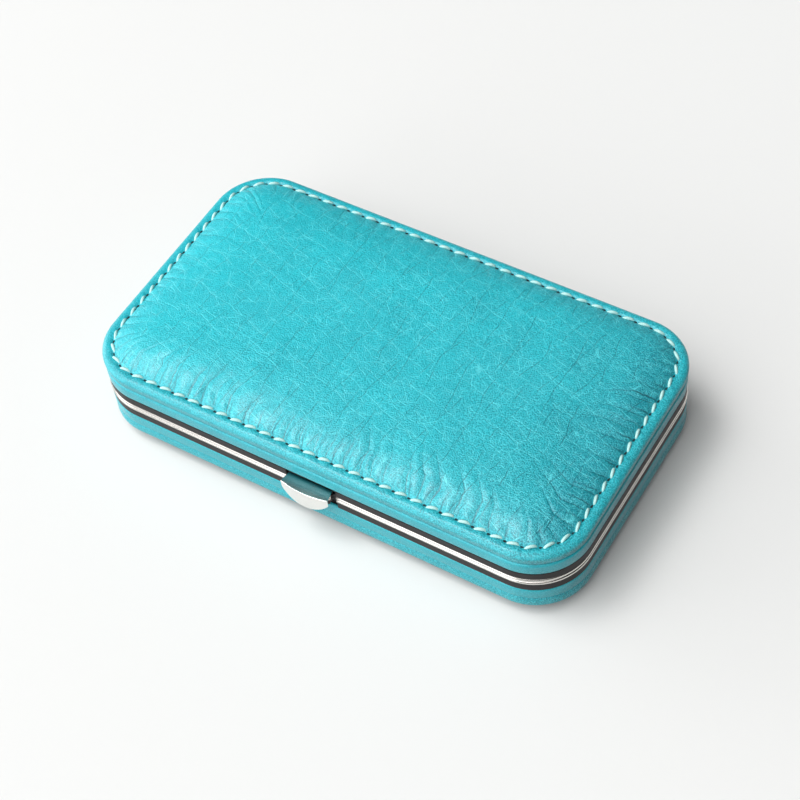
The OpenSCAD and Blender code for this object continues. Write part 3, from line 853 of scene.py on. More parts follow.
def ring_faces(start_a: int, count_a: int, start_b: int, count_b: int) -> Faces:
    """Faces between two neighbouring rings, of which one may have half the other's points.

    Args:
        start_a: First index of the first ring.
        count_a: Number of its points.
        start_b: First index of the second ring.
        count_b: Number of its points.

    Returns:
        The faces, turned so that the normal points left of the way from the first ring to the second.
    """
    if count_a < count_b:
        return [face[::-1] for face in ring_faces(start_b, count_b, start_a, count_a)]
    faces: Faces = []
    for j in range(count_b):
        b, next_b = start_b + j, start_b + (j + 1) % count_b
        if count_a == count_b:
            faces.append((start_a + j, start_a + (j + 1) % count_a, next_b, b))
        else:
            a, between, next_a = (start_a + (2 * j + step) % count_a for step in range(3))
            faces += [(a, between, b), (between, next_b, b), (between, next_a, next_b)]
    return faces


def middle_faces(start: int, count: int) -> Faces:
    """Faces that close the slot inside the innermost ring of an outline.

    Args:
        start: First index of the ring.
        count: Number of its points.

    Returns:
        The faces.
    """
    faces: Faces = []
    quarter, half = count // 4, count // 2
    for j in (*range(quarter), *range(3 * quarter, count)):
        corners = [j, (j + 1) % count, (half - j - 1) % count, (half - j) % count]
        faces.append(tuple(start + c for c in dict.fromkeys(corners)))
    return faces


def skin_faces(counts: list[int]) -> Faces:
    """Faces over a row of rings with these numbers of points, closed inside the first and the last.

    Args:
        counts: Number of points of each ring.

    Returns:
        The faces.
    """
    starts = [sum(counts[:i]) for i in range(len(counts))]
    faces = [face[::-1] for face in middle_faces(0, counts[0])]
    for i in range(len(counts) - 1):
        faces += ring_faces(starts[i], counts[i], starts[i + 1], counts[i + 1])
    return faces + middle_faces(starts[-1], counts[-1])


class Waves:
    """Smooth random field made of plane waves, the same at each run."""

    def __init__(self, seed: int, low: float, high: float) -> None:
        """Draws the waves.

        Args:
            seed: Seed of the draw.
            low: Shortest wavelength in millimetres.
            high: Longest wavelength in millimetres.
        """
        count = 14
        random = np.random.default_rng(seed)
        angle = random.uniform(0, 2 * np.pi, count)
        pitch = 2 * np.pi / random.uniform(low, high, count)
        phase = random.uniform(0, 2 * np.pi, count)
        self.waves = list(zip(pitch * np.cos(angle), pitch * np.sin(angle), phase))

    def __call__(self, x: np.ndarray, y: np.ndarray) -> np.ndarray:
        """Value of the field, about -1 to 1, at points in millimetres."""
        total = sum(np.sin(kx * x + ky * y + phase) for kx, ky, phase in self.waves)
        return total / math.sqrt(len(self.waves) * 1.3)


@dataclass(frozen=True)
class Seam:
    """Where the needle holes lie; the marks give holes by number and distance from the front's middle."""

    inset: float = 2.56
    stitches: int = 90
    marks: Marks = ((0, 0.9), (22, 83.4), (40, 151.8), (54, 206.8), (70, 264.2), (90, 338.48))

    def holes(self) -> np.ndarray:
        """Distance run at each needle hole, the last of which is the first one again."""
        return along(np.arange(self.stitches + 1), self.marks)

    def beat(self, way: np.ndarray) -> np.ndarray:
        """Number of stitches passed at each distance run.

        Args:
            way: Distance run along the seam.

        Returns:
            The number of stitches, with the part of the next one.
        """
        holes = self.holes()
        total = holes[-1] - holes[0]
        return np.interp((way - holes[0]) % total + holes[0], holes, np.arange(self.stitches + 1))


@dataclass
class Gathers:
    """Creases that the seam draws into the padded leather, with the pillows that swell between them.

    Long creases run far in from the seam, and a short one starts at each needle hole. Both are counted on the
    way round, so that a crease lies wherever the count is whole. The sides give the gathering's strength
    against the share of the way round, from the front's middle over the right, the back and the left.
    """

    seed: int
    seam: Seam
    loop: float
    sides: Marks = ((0, 1.0), (0.12, 1.0), (0.145, 0.4), (0.175, 0.4), (0.195, 1.35), (0.29, 1.35),
                    (0.32, 0.45), (0.66, 0.45), (0.70, 0.6), (0.80, 0.6), (0.86, 1.0), (1.0, 1.0))
    gap: Pair = (2.4, 5.4)
    lean: float = 0.17
    swing: Pair = (9.0, 30.0)
    wander: float = 0.9
    kink: Pair = (2.6, 6.0)
    kinked: float = 0.144
    held: float = 4.0
    long_reach: Pair = (8.0, 26.0)
    least_long: float = 0.45
    short_reach: Pair = (2.4, 8.0)
    least_short: float = 0.35
    puff: float = 0.48
    puff_fade: float = 14.0
    puff_start: float = 1.2
    puff_level: float = 0.55
    bead: float = 0.20
    bead_at: float = 1.1
    bead_width: float = 1.6
    marks: np.ndarray = field(init=False)
    reach: np.ndarray = field(init=False)
    strength: np.ndarray = field(init=False)
    small_reach: np.ndarray = field(init=False)
    small_strength: np.ndarray = field(init=False)

    def __post_init__(self) -> None:
        """Draws the creases."""
        random = np.random.default_rng(self.seed)
        gaps = random.uniform(*self.gap, int(2 * self.loop / sum(self.gap)))
        self.marks = np.r_[0.0, np.cumsum(gaps)] * self.loop / gaps.sum()
        count, stitches = len(gaps), self.seam.stitches
        self.reach = random.uniform(*self.long_reach, count) * (0.4 + 0.6 * random.random(count))
        self.strength = random.uniform(self.least_long, 1.0, count)
        self.small_reach = random.uniform(*self.short_reach, stitches)
        self.small_strength = random.uniform(self.least_short, 1.0, stitches)

    def counts(self, way: np.ndarray, inwards: np.ndarray) -> tuple[np.ndarray, np.ndarray]:
        """Number of long and of short creases passed at each point, running on past a full turn.

        Args:
            way: Distance run along the seam.
            inwards: Distance inside the seam.

        Returns:
            The long and the short count.
        """
        swing = self.wander * Waves(self.seed + 1, *self.swing)(way, inwards)
        kink = self.kinked * Waves(self.seed + 2, *self.kink)(way, inwards)
        start = way + self.lean * inwards + np.minimum(1, inwards / self.held) * (swing + kink)
        turns = np.floor(start / self.loop)
        rest = start - turns * self.loop
        long_count = np.interp(rest, self.marks, np.arange(len(self.marks))) + turns * len(self.reach)
        holes = self.seam.holes()
        short_count = np.interp((rest - holes[0]) % self.loop + holes[0], holes, np.arange(len(holes)))
        short_count = np.where(rest < holes[0], short_count - self.seam.stitches, short_count)
        return long_count, short_count + turns * self.seam.stitches

    def depths(self, way: np.ndarray, inwards: np.ndarray) -> tuple[np.ndarray, np.ndarray]:
        """Depth of the nearest long and short crease at each point, from 0 to 1.

        Args:
            way: Distance run along the seam.
            inwards: Distance inside the seam.

        Returns:
            The long and the short creases' depth.
        """
        long_count, short_count = self.counts(way, inwards)
        near = np.round(long_count).astype(int) % len(self.reach)
        hole = np.round(short_count).astype(int) % self.seam.stitches
        force = along(way % self.loop / self.loop, self.sides)
        reach = self.reach[near] * (0.35 + 0.65 * force)
        depth = self.strength[near] * np.clip(1.15 - inwards / reach, 0, 1)
        small = self.small_strength[hole] * np.clip(1.2 - inwards / (self.small_reach[hole] * force), 0, 1)
        return depth * np.sqrt(force), small * force

    def heights(self, way: np.ndarray, inwards: np.ndarray) -> np.ndarray:
        """Height that the creases and the pillows between them add at each point.

        Args:
            way: Distance run along the seam.
            inwards: Distance inside the seam.

        Returns:
            Height to add.
        """
        off, near = (np.abs(count - np.round(count)) for count in self.counts(way, inwards))
        depth, small = self.depths(way, inwards)
        pillow = np.sin(np.pi * np.clip(off, 0, 0.5)) ** 0.8 - self.puff_level
        puff = depth * pillow * share(inwards, self.puff_start) * np.exp(-inwards / self.puff_fade)
        beside = (inwards - self.bead_at) / self.bead_width
        bead = small * (np.sin(np.pi * near) - 0.5) * np.exp(-beside ** 2)
        return self.puff * puff + self.bead * bead


@dataclass
class PaddedCover:
    """Leather cover of one half: padded top, stitched groove, rounded edge and turned-in hem.

    Heights count from the parting plane. From the middle outwards, a band gives the inset at which its rings
    end, their distance, and the step between the outline's points that are used; a last band crosses the
    seam. Slumped gives the share of the right end's long, even slope against the share of the way round.
    Worked, the strength of the grain, and the painted shade, which darkens the leather where the light falls
    off, go from the left end to the right, and each is higher near one side: the front for worked, the right
    end for the painted shade.
    """

    half: Half
    rise: float
    top: float
    outline: Outline = OUTLINE
    seam: Seam = field(default_factory=Seam)
    under: float = 6.2
    flange: float = 9.35
    crown_width: float = 15.5
    dome: float = 0.22
    slumped: Marks = ((0.12, 0.0), (0.185, 1.0), (0.31, 1.0), (0.37, 0.0))
    slope_width: float = 22.0
    slope_power: float = 1.5
    brim: float = 0.45
    brim_width: float = 5.0
    bands: tuple[tuple[float, float, int], ...] = ((12.5, 0.5, 2), (7.0, 0.42, 1), (3.46, 0.34, 1))
    seam_band: tuple[float, float, int] = (0.85, -0.9, 12)
    edge_round: float = 1.1
    edge_in: float = 1.6
    under_in: float = 0.6
    leather: float = 1.0
    hem: float = 7.0
    hem_start: float = 2.2
    fold: float = 0.2
    skin_under: float = 8.35
    worked: Marks = ((-1, 0.6), (-0.3, 0.85), (0.3, 1.0), (1, 1.3))
    front_worked: Pair = (0.35, 9.0)
    # Painted shade, rising from the left end to the right and more near the right seam, where the light falls
    # off.
    painted_shade: Marks = ((-1, 0.05), (-0.5, 0.20), (0.4, 0.38), (1, 0.60))
    right_painted_shade: Pair = (1.0, 6.0)
    groove: float = 0.26
    groove_width: float = 0.42
    dent: float = 0.22
    dent_width: float = 0.55
    lumps: Pair = (9.0, 26.0)
    swell: float = 0.10
    ripples: Pair = (2.6, 6.0)
    pad_ripple: float = 0.022
    edge_ripple: float = 0.03
    filling: float = 0.75

    @property
    def loop(self) -> float:
        """Length of the seam."""
        return self.outline.way(self.seam.inset)[-1]

    def crown(self, inset: np.ndarray | float) -> np.ndarray:
        """Height of the pad at an inset: a steep rim, a gentle dome, no higher than the top.

        Args:
            inset: Distance from the case's edge.

        Returns:
            The height above the parting plane.
        """
        inwards = inset - self.seam.inset
        rim = easing(inwards, self.crown_width, 3)
        dome = easing(inwards, self.outline.width / 2 - self.seam.inset, 2)
        return np.minimum(self.top, self.flange + self.rise * ((1 - self.dome) * rim + self.dome * dome))

    def slump(self, way: np.ndarray, inset: np.ndarray) -> np.ndarray:
        """How far the pad's long, even slope at the right end lies below its steep rim elsewhere.

        Args:
            way: Distance run along the seam of each point.
            inset: Inset of each point.

        Returns:
            Height to take away.
        """
        inwards = inset - self.seam.inset
        even = easing(inwards, self.slope_width, self.slope_power)
        slope = self.brim * easing(inwards, self.brim_width, 2) + (1 - self.brim) * even
        fallen = self.rise * (1 - self.dome) * (easing(inwards, self.crown_width, 3) - slope)
        return along(way / self.loop, self.slumped) * fallen

    def section(self) -> list[tuple[float, float, int]]:
        """Rings of the cover as inset, height and step between the outline's points that are used.

        Returns:
            The rings from the middle of the pad, over the edge and the hem, to the middle of the inner side.
        """
        seam, end, leather, fold = self.seam.inset, self.outline.innermost, self.leather, self.fold
        rings, start = [], end
        for stop, apart, step in self.bands:
            rings += [(d, float(self.crown(d)), step) for d in np.arange(start, stop, -apart)]
            start = stop
        inside, outside, count = self.seam_band
        rings += [(d, float(self.crown(d)), 1) for d in np.linspace(seam + inside, seam + outside, count)]
        for a in np.radians(np.linspace(0, 90, 9)):
            fall = self.edge_round * (1 - math.cos(a))
            rings.append((self.edge_in * (1 - math.sin(a)), self.flange - fall, 1))
        drop = self.flange - self.edge_round - self.under
        for a in np.radians(np.linspace(10, 90, 8)):
            rings.append((self.under_in * (1 - math.cos(a)), self.under + drop * (1 - math.sin(a)), 1))
        rings.append((self.hem_start, self.under, 2))
        inner = self.under + leather
        rings += [(d, z, 4) for d, z in (
            (self.hem - fold, self.under), (self.hem, self.under + fold), (self.hem, inner - fold),
            (self.hem - fold, inner), (leather + fold, inner), (leather, self.skin_under - fold),
            (leather + fold, self.skin_under), (seam, self.skin_under - 0.25))]
        return rings + [(d, float(self.crown(d)) - leather, 4) for d in (*np.arange(seam + 1, end, 1.5), end)]

    def gathers(self) -> Gathers:
        """The creases round this half's seam."""
        return Gathers(11 if self.half is Half.LID else 23, self.seam, self.loop)

    def relief(self, points: np.ndarray, way: np.ndarray, inset: np.ndarray) -> np.ndarray:
        """What the seam, the creases and the soft filling do to the outer skin.

        Args:
            points: Points in millimetres.
            way: Distance run along the seam of each point.
            inset: Inset of each point.

        Returns:
            Height to add.
        """
        inwards = inset - self.seam.inset
        beat = self.seam.beat(way)
        hole = np.abs(beat - np.round(beat)) * self.loop / self.seam.stitches
        padded = share(inwards, 0.3)
        height = self.gathers().heights(way, np.maximum(inwards, 0)) * padded - self.slump(way, inset)
        height -= self.groove * np.exp(-((inwards / self.groove_width) ** 2))
        height -= self.dent * np.exp(-((hole / self.groove_width) ** 2) - (inwards / self.dent_width) ** 2)
        x, y = points[:, 0], points[:, 1]
        ripples = Waves(8, *self.ripples)(x, y)
        height += self.swell * Waves(5, *self.lumps)(x, y) * share(inwards, 5.0)
        height += self.pad_ripple * ripples * padded
        return height + self.edge_ripple * ripples * share(inset - 0.2, 1.0) * (inwards < 0)

    def build(self) -> Piece:
        """Builds the cover.

        Returns:
            The piece, on its body.
        """
        rings = self.section()
        insets, heights, steps = zip(*rings)
        edge = heights.index(self.under) - 4
        loops = [self.outline.ring(inset)[::step] for inset, step in zip(insets, steps)]
        counts = [len(loop) for loop in loops]
        full_way = self.outline.way(self.seam.inset)[:-1]
        way = np.concatenate([full_way[::step] for step in steps])
        inset = np.repeat(insets, counts)
        skin = np.repeat((np.arange(len(rings)) < edge).astype(float), counts)
        points = np.c_[np.vstack(loops), np.repeat(heights, counts)]
        points[:, 2] += self.relief(points, way, inset) * skin
        if self.half is Half.BASE:
            points[:, 2] = np.minimum(points[:, 2], self.outline.parting)
        points[:, 2] = self.outline.parting + self.half.sign * points[:, 2]
        piece = mesh_piece(f"{self.half.value}_leather_cover", points, skin_faces(counts))
        inwards = np.maximum(inset - self.seam.inset, 0)
        self.store(piece, points, way, inwards, skin)
        self.map_gathers(piece, way, inwards)
        with editing(piece):
            bpy.ops.mesh.normals_make_consistent(inside=False)
        smooth(piece, 60)
        LEATHER.dress(piece)
        return register(piece, self.half.value, "turquoise_leather", f"{self.half.value}_cover")

    def store(self, piece: Piece, points: np.ndarray, way: np.ndarray, inwards: np.ndarray,
              skin: np.ndarray) -> None:
        """Stores on the mesh what the leather's finish reads: see Leather.

        Args:
            piece: The cover.
            points: Its points in millimetres.
            way: Distance run along the seam of each point.
            inwards: Distance inside the seam of each point, not below 0.
            skin: 1 for a point of the outer skin, else 0.
        """
        end, side = self.outline.length / 2, self.outline.width / 2
        behind_front = np.abs(points[:, 1] + side - self.seam.inset)
        before_right = np.abs(end - self.seam.inset - points[:, 0])
        long_depth, short_depth = self.gathers().depths(way, inwards)
        fields = {"pad": share(inwards, 0.8) * skin, "long": long_depth, "short": short_depth}
        # The second field is the painted shade that the leather's colour reads.
        for key, marks, (more, fade), away in (("worked", self.worked, self.front_worked, behind_front),
                                               ("painted_shade", self.painted_shade, self.right_painted_shade, before_right)):
            fields[key] = along(points[:, 0] / end, marks) + more * np.exp(-away / fade)
        for key, values in fields.items():
            layer = piece.data.attributes.new(key, "FLOAT", "POINT")
            layer.data.foreach_set("value", values.astype(np.float32))

    def map_gathers(self, piece: Piece, way: np.ndarray, inwards: np.ndarray) -> None:
        """Adds a UV map that counts the long and the short creases on the way round.

        Args:
            piece: The cover.
            way: Distance run along the seam of each point.
            inwards: Distance inside the seam of each point.
        """
        mesh, gathers = piece.data, self.gathers()
        corners = np.empty(len(mesh.loops), np.int32)
        mesh.loops.foreach_get("vertex_index", corners)
        first = np.empty(len(mesh.polygons), np.int32)
        mesh.polygons.foreach_get("loop_start", first)
        sizes = np.diff(np.r_[first, len(corners)])
        counts = []
        for count, turn in zip(gathers.counts(way, inwards), (len(gathers.reach), self.seam.stitches)):
            count = count[corners]
            highest = np.repeat(np.maximum.reduceat(count, first), sizes)
            counts.append(np.where(highest - count > turn / 2, count + turn, count))
        layer = mesh.uv_layers.new(name="gathers")
        layer.data.foreach_set("uv", np.column_stack(counts).astype(np.float32).ravel())


@dataclass
class FoamPad:
    """Foam between the board and the leather of one half."""

    cover: PaddedCover
    board_top: float = 8.25
    clear: float = 0.1
    edge: float = 3.3
    step: float = 1.4
    filling: float = 0.9

    def build(self) -> Piece:
        """Builds the foam pad.

        Returns:
            The piece, on its body.
        """
        cover, outline, half = self.cover, self.cover.outline, self.cover.half
        end = outline.innermost
        way = outline.way(cover.seam.inset)[:-1][::4]
        rows = []
        for inset in np.arange(end, self.edge + 0.3, -self.step):
            fallen = cover.slump(way, np.full(len(way), inset))
            top = cover.crown(inset) - cover.leather - self.clear - fallen
            rows.append((inset, np.maximum(top, self.board_top + self.clear)))
        rows.append((self.edge, self.board_top + 0.25))
        rows += [(inset, self.board_top + self.clear) for inset in (self.edge, 8.0, 20.0, end)]
        points = np.vstack([
            np.c_[outline.ring(inset)[::4], np.broadcast_to(z, len(way))] for inset, z in rows])
        points[:, 2] = outline.parting + half.sign * points[:, 2]
        piece = mesh_piece(f"{half.value}_foam_pad", points, skin_faces([len(way)] * len(rows)))
        face_out(piece)
        smooth(piece, 50)
        PAD_FOAM.dress(piece)
        return register(piece, half.value, "pad_foam", f"{half.value}_foam")


# --- Stitches ---


@dataclass
class Stitches:
    """The row of stitches round one half: twisted slugs of thread, and before each a needle hole painted dark
    as its shade.

    A lay gives how far past its needle hole a copy lies, its height above the flange, its turn against the
    seam's direction in degrees, and the spread of that turn.
    """

    cover: PaddedCover
    length: float = 2.75
    thick: float = 0.74
    sides: int = 8
    rings: int = 9
    twist: float = 220.0
    arch: float = 0.14
    sink: float = 0.30
    tip: float = 0.45
    roundness: float = 0.55
    lay: Ramp = (1.9, 0.0, 14.0, 2.0)
    hole_sides: int = 10
    hole_size: Pair = (0.95, 0.56)
    hole_depth: float = 0.3
    hole_floor: float = 0.6
    hole_lay: Ramp = (0.15, -0.27, 6.0, 4.0)

    def slug(self) -> Piece:
        """Models one stitch along X at the origin.

        Returns:
            The stitch.
        """
        deselect()
        bpy.ops.mesh.primitive_circle_add(
            vertices=self.sides, radius=self.tip * self.thick / 2 * MM, fill_type="NGON",
            rotation=(0, math.pi / 2, 0), location=(-self.length / 2 * MM, 0, -self.sink * MM))
        slug = bpy.context.object
        settle(slug)
        last, last_z = self.tip, -self.sink
        step = self.length / self.rings
        with editing(slug):
            for i in range(1, self.rings + 1):
                t = i / self.rings
                size = self.tip + (1 - self.tip) * max(0.0, math.sin(math.pi * t)) ** self.roundness
                z = self.arch * math.sin(math.pi * t) - self.sink * abs(2 * t - 1) ** 3
                extrude(step, z - last_z)
                centre = ((-self.length / 2 + step * i) * MM, 0, z * MM)
                bpy.ops.transform.resize(value=(1, size / last, size / last), center_override=centre)
                bpy.ops.transform.rotate(value=math.radians(self.twist / self.rings), orient_axis="X",
                                         center_override=centre)
                last, last_z = size, z
        face_out(slug)
        return slug

    def hole(self) -> Piece:
        """Models one needle hole at the origin: a small dish whose underside closes it; its near-black finish
        is painted shade.

        Returns:
            The hole.
        """
        deselect()
        bpy.ops.mesh.primitive_circle_add(vertices=self.hole_sides, radius=0.5 * MM, fill_type="NGON")
        hole = bpy.context.object
        with editing(hole):
            extrude(0, -self.hole_depth)
            bpy.ops.transform.resize(value=(self.hole_floor, self.hole_floor, 1),
                                     center_override=(0, 0, -self.hole_depth * MM))
        hole.scale = (*self.hole_size, 1)
        settle(hole)
        face_out(hole)
        return hole

    def round_seam(self, model: Piece, kind: str, lay: Ramp, finish: Finish) -> None:
        """Copies a small model to every needle hole, joins the copies and dresses them.

        Args:
            model: Model along X at the origin, which is used up.
            kind: What the joined piece's name ends with.
            lay: How the copies lie.
            finish: Finish of the joined piece.
        """
        cover, half = self.cover, self.cover.half
        lead, height, turn, spread = lay
        way = cover.outline.way(cover.seam.inset)
        ring = cover.outline.ring(cover.seam.inset)
        xs, ys = np.vstack([ring, ring[:1]]).T
        random = np.random.default_rng(31 if half is Half.LID else 37)
        z = cover.outline.parting + half.sign * (cover.flange + height)
        copies = []
        for place in cover.seam.holes()[:-1] + lead:
            ends = [np.array([np.interp(s % way[-1], way, xs), np.interp(s % way[-1], way, ys)])
                    for s in (place - self.length / 2, place + self.length / 2)]
            centre, across = (ends[0] + ends[1]) / 2, ends[1] - ends[0]
            angle = math.atan2(across[1], across[0]) + math.radians(turn + random.normal(0, spread))
            copy = model.copy()
            copy.data = model.data.copy()
            bpy.context.scene.collection.objects.link(copy)
            pose = Matrix.Translation(Vector((*centre, z)) * MM) @ Matrix.Rotation(angle, 4, "Z")
            copy.data.transform(pose @ Matrix.Diagonal((1, 1, half.sign, 1)))
            if half is Half.BASE:
                copy.data.flip_normals()
            copies.append(copy)
        bpy.data.objects.remove(model)
        take(copies[0])
        for copy in copies:
            copy.select_set(True)
        bpy.ops.object.join()
        piece = copies[0]
        entitle(piece, f"{half.value}_{kind}")
        smooth(piece, 80)
        finish.dress(piece)
        register(piece, half.value, "turquoise_leather")

    def build(self) -> None:
        """Builds the stitches and the needle holes."""
        self.round_seam(self.slug(), "stitches", self.lay, THREAD)
        # The holes are dressed near-black as the painted shade inside them.
        self.round_seam(self.hole(), "needle_hole_shades", self.hole_lay, HOLE_SHADE)


# --- Side leather, lining and loops ---


def oblong(name: str, inset: float, z: float) -> Piece:
    """Flat oblong with the case's rounded corners.

    Args:
        name: Name of the piece.
        inset: Distance inside the case's edge.
        z: Height above the table.

    Returns:
        The oblong.
    """
    deselect()
    bpy.ops.mesh.primitive_plane_add(size=1, location=(0, 0, 0))
    piece = bpy.context.object
    entitle(piece, name)
    piece.scale = ((OUTLINE.length - 2 * inset) * MM, (OUTLINE.width - 2 * inset) * MM, 1)
    settle(piece)
    with editing(piece):
        bpy.ops.mesh.bevel(offset=(OUTLINE.corner - inset) * MM, segments=28, affect="VERTICES", profile=0.5)
        bpy.ops.mesh.select_all(action="SELECT")
        bpy.ops.transform.translate(value=(0, 0, z * MM))
    return piece


@dataclass
class SideStrip:
    """Leather round the side of one half, with its outer edges rounded so that it bulges."""

    half: Half
    inset: float = 0.08
    thick: float = 0.62
    low: float = 2.95
    high: float = 6.17
    rounding: float = 0.5

    def build(self) -> Piece:
        """Builds the strip.

        Returns:
            The piece, on its body.
        """
        body, sign = self.half.value, self.half.sign
        piece = oblong(f"{body}_side_strip", self.inset, OUTLINE.parting + sign * self.low)
        with editing(piece):
            bpy.ops.mesh.inset(thickness=self.thick * MM, depth=0)
            bpy.ops.mesh.delete(type="FACE")
            bpy.ops.mesh.select_all(action="SELECT")
            extrude(0, sign * (self.high - self.low))
        face_out(piece)
        mesh = bmesh.new()
        mesh.from_mesh(piece.data)
        outer = [edge for edge in mesh.edges if self.is_outer(edge)]
        bmesh.ops.bevel(mesh, geom=outer, offset=self.rounding * MM, segments=5, profile=0.5, affect="EDGES")
        mesh.to_mesh(piece.data)
        mesh.free()
        smooth(piece, 50)
        LEATHER.dress(piece)
        return register(piece, body, "turquoise_leather", f"{body}_side_leather")

    @staticmethod
    def is_outer(edge: bmesh.types.BMEdge) -> bool:
        """True for an edge between the outer wall and the strip's upper or lower rim.

        Args:
            edge: Edge of the strip.

        Returns:
            Whether the edge is rounded.
        """
        upright = [face for face in edge.link_faces if abs(face.normal.z) < 0.5]
        if len(upright) != 1 or len(edge.link_faces) != 2:
            return False
        centre = upright[0].calc_center_median()
        return upright[0].normal.x * centre.x + upright[0].normal.y * centre.y > 0


@dataclass
class VelourTray:
    """Velour-covered tray inside one half, with soft inner corners and a notch for the latch."""

    half: Half
    notch: float
    inset: float = 2.05
    thick: float = 0.5
    lip: float = 0.3
    depth: float = 5.0
    soft: float = 0.9
    clear: float = 0.6

    def build(self) -> Piece:
        """Builds the tray.

        Returns:
            The piece, on its body.
        """
        body, sign = self.half.value, self.half.sign
        back = self.depth + self.thick
        piece = oblong(f"{body}_velour_tray", self.inset, OUTLINE.parting + sign * back)
        with editing(piece):
            extrude(0, -sign * (back - self.lip))
            bpy.ops.mesh.inset(thickness=self.thick * MM, depth=0)
            extrude(0, sign * (self.depth - self.lip))
            bpy.ops.mesh.region_to_loop()
            bpy.ops.mesh.bevel(offset=self.soft * MM, segments=5, affect="EDGES")
        face_out(piece)
        self.cut_notch(piece)
        smooth(piece, 40)
        VELOUR.dress(piece)
        return register(piece, body, "velour", f"{body}_lining")

    def cut_notch(self, piece: Piece) -> None:
        """Cuts the front wall away where the latch is.

        Args:
            piece: The tray.
        """
        wall = -OUTLINE.width / 2 + self.inset + self.thick / 2 - 0.4
        middle = OUTLINE.parting + self.half.sign * (self.depth / 2 - 0.05)
        deselect()
        bpy.ops.mesh.primitive_cube_add(size=1, location=(0, wall * MM, middle * MM))
        cutter = bpy.context.object
        cutter.scale = ((self.notch + self.clear) * MM, (self.thick + 0.85) * MM, (self.depth - 0.1) * MM)
        settle(cutter)
        apply_modifier(piece, "BOOLEAN", operation="DIFFERENCE", object=cutter, solver="EXACT")
        bpy.data.objects.remove(cutter)


# --- Latch, hinge, frames and tools ---


@dataclass(frozen=True)
class Softened:
    """A piece that keeps its CAD node's shape with rounded edges.

    The width is the rounding's, the segments its faces, and edges sharper than the edge's angle are rounded.
    """

    node: str
    name: str
    body: str = "base"
    width: float = 0.14
    segments: int = 2
    finish: Finish = TOOL_STEEL
    slot: str = "tool_steel"
    edge_angle: float = 32.0
    flat_angle: float = 0.6
    shade_angle: float = 35.0

    def build(self) -> Piece:
        """Builds the piece from its CAD node.

        Returns:
            The piece, on its body.
        """
        piece = bpy.data.objects.new(self.name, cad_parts[self.node].data.copy())
        piece.data.name = self.name
        bpy.context.scene.collection.objects.link(piece)
        with editing(piece):
            bpy.ops.mesh.remove_doubles(threshold=MERGE)
            bpy.ops.mesh.dissolve_limited(angle_limit=math.radians(self.flat_angle))
        piece.data.normals_split_custom_set([(0.0, 0.0, 0.0)] * len(piece.data.loops))
        apply_modifier(piece, "BEVEL", width=self.width * MM, segments=self.segments, limit_method="ANGLE",
                       angle_limit=math.radians(self.edge_angle), miter_outer="MITER_ARC",
                       use_clamp_overlap=True)
        smooth(piece, self.shade_angle)
        self.finish.dress(piece)
        return register(piece, self.body, self.slot, self.node)


def push_button() -> None:
    """Builds the push button, whose top is satin nickel with a painted teal reflection and the rest polished.
    """
    level = 0.98
    piece = Softened("latch_button", "push_button", "button", 0.22, 4, NICKEL, "nickel_plate").build()
    # The faces on top get the painted teal reflection.
    piece.data.materials.append(PAINTED_REFLECTION_NICKEL.material())
    for face in piece.data.polygons:
        face.material_index = int(face.normal.z > level)


SOFTENED = (
    Softened("base_tool_loops", "base_leather_loops", "base", 0.16, 2, LOOP_LEATHER, "loop_leather"),
    Softened("lid_tool_loops", "lid_leather_loops", "lid", 0.14, 2, LOOP_LEATHER, "loop_leather"),
    Softened("clipper_lower_jaw", "clipper_lower"),
    Softened("clipper_upper_jaw", "clipper_upper"),
    Softened("clipper_lever", "clipper_thumb_lever", width=0.16, segments=3),
    Softened("clipper_pin", "clipper_rivet", width=0.15, segments=3),
    Softened("tweezers", "tweezers_steel"),
    Softened("cuticle_pusher", "pusher_steel", width=0.12),
    Softened("nail_file", "file_blade", "base", 0.12, 2, GRIT, "file_steel"),
    Softened("nail_file_handle", "file_grip", "base", 0.5, 4, GRIP, "black_grip"),
    Softened("scissors_blade_upper", "scissors_upper", "lid"),
    Softened("scissors_blade_lower", "scissors_lower", "scissors_blade"),
    Softened("scissors_screw", "scissors_pivot_screw", "lid", 0.12),
)

KEPT = {
    FRAME_METAL: ("lid_frame", "base_frame"),
    TRIM: ("lid_trim_band", "base_trim_band"),
    HARDWARE: ("lid_hinge_leaf", "base_hinge_leaf", "hinge_pin", "lid_hinge_rivets", "base_hinge_rivets",
               "lid_strike", "lid_strike_rivets", "latch_housing", "latch_rivets", "latch_spring",
               "latch_hook"),
    SHELL: ("lid_shell", "base_shell"),
    BOARD: ("lid_board", "base_board"),
}


def dress_kept_nodes() -> None:
    """Gives the CAD nodes that keep their shape their finishes."""
    for finish, nodes in KEPT.items():
        for node in nodes:
            finish.dress(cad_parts[node])
            LOG.info("%s keeps its shape, finish %s", node, finish.name)


# --- Studio ---


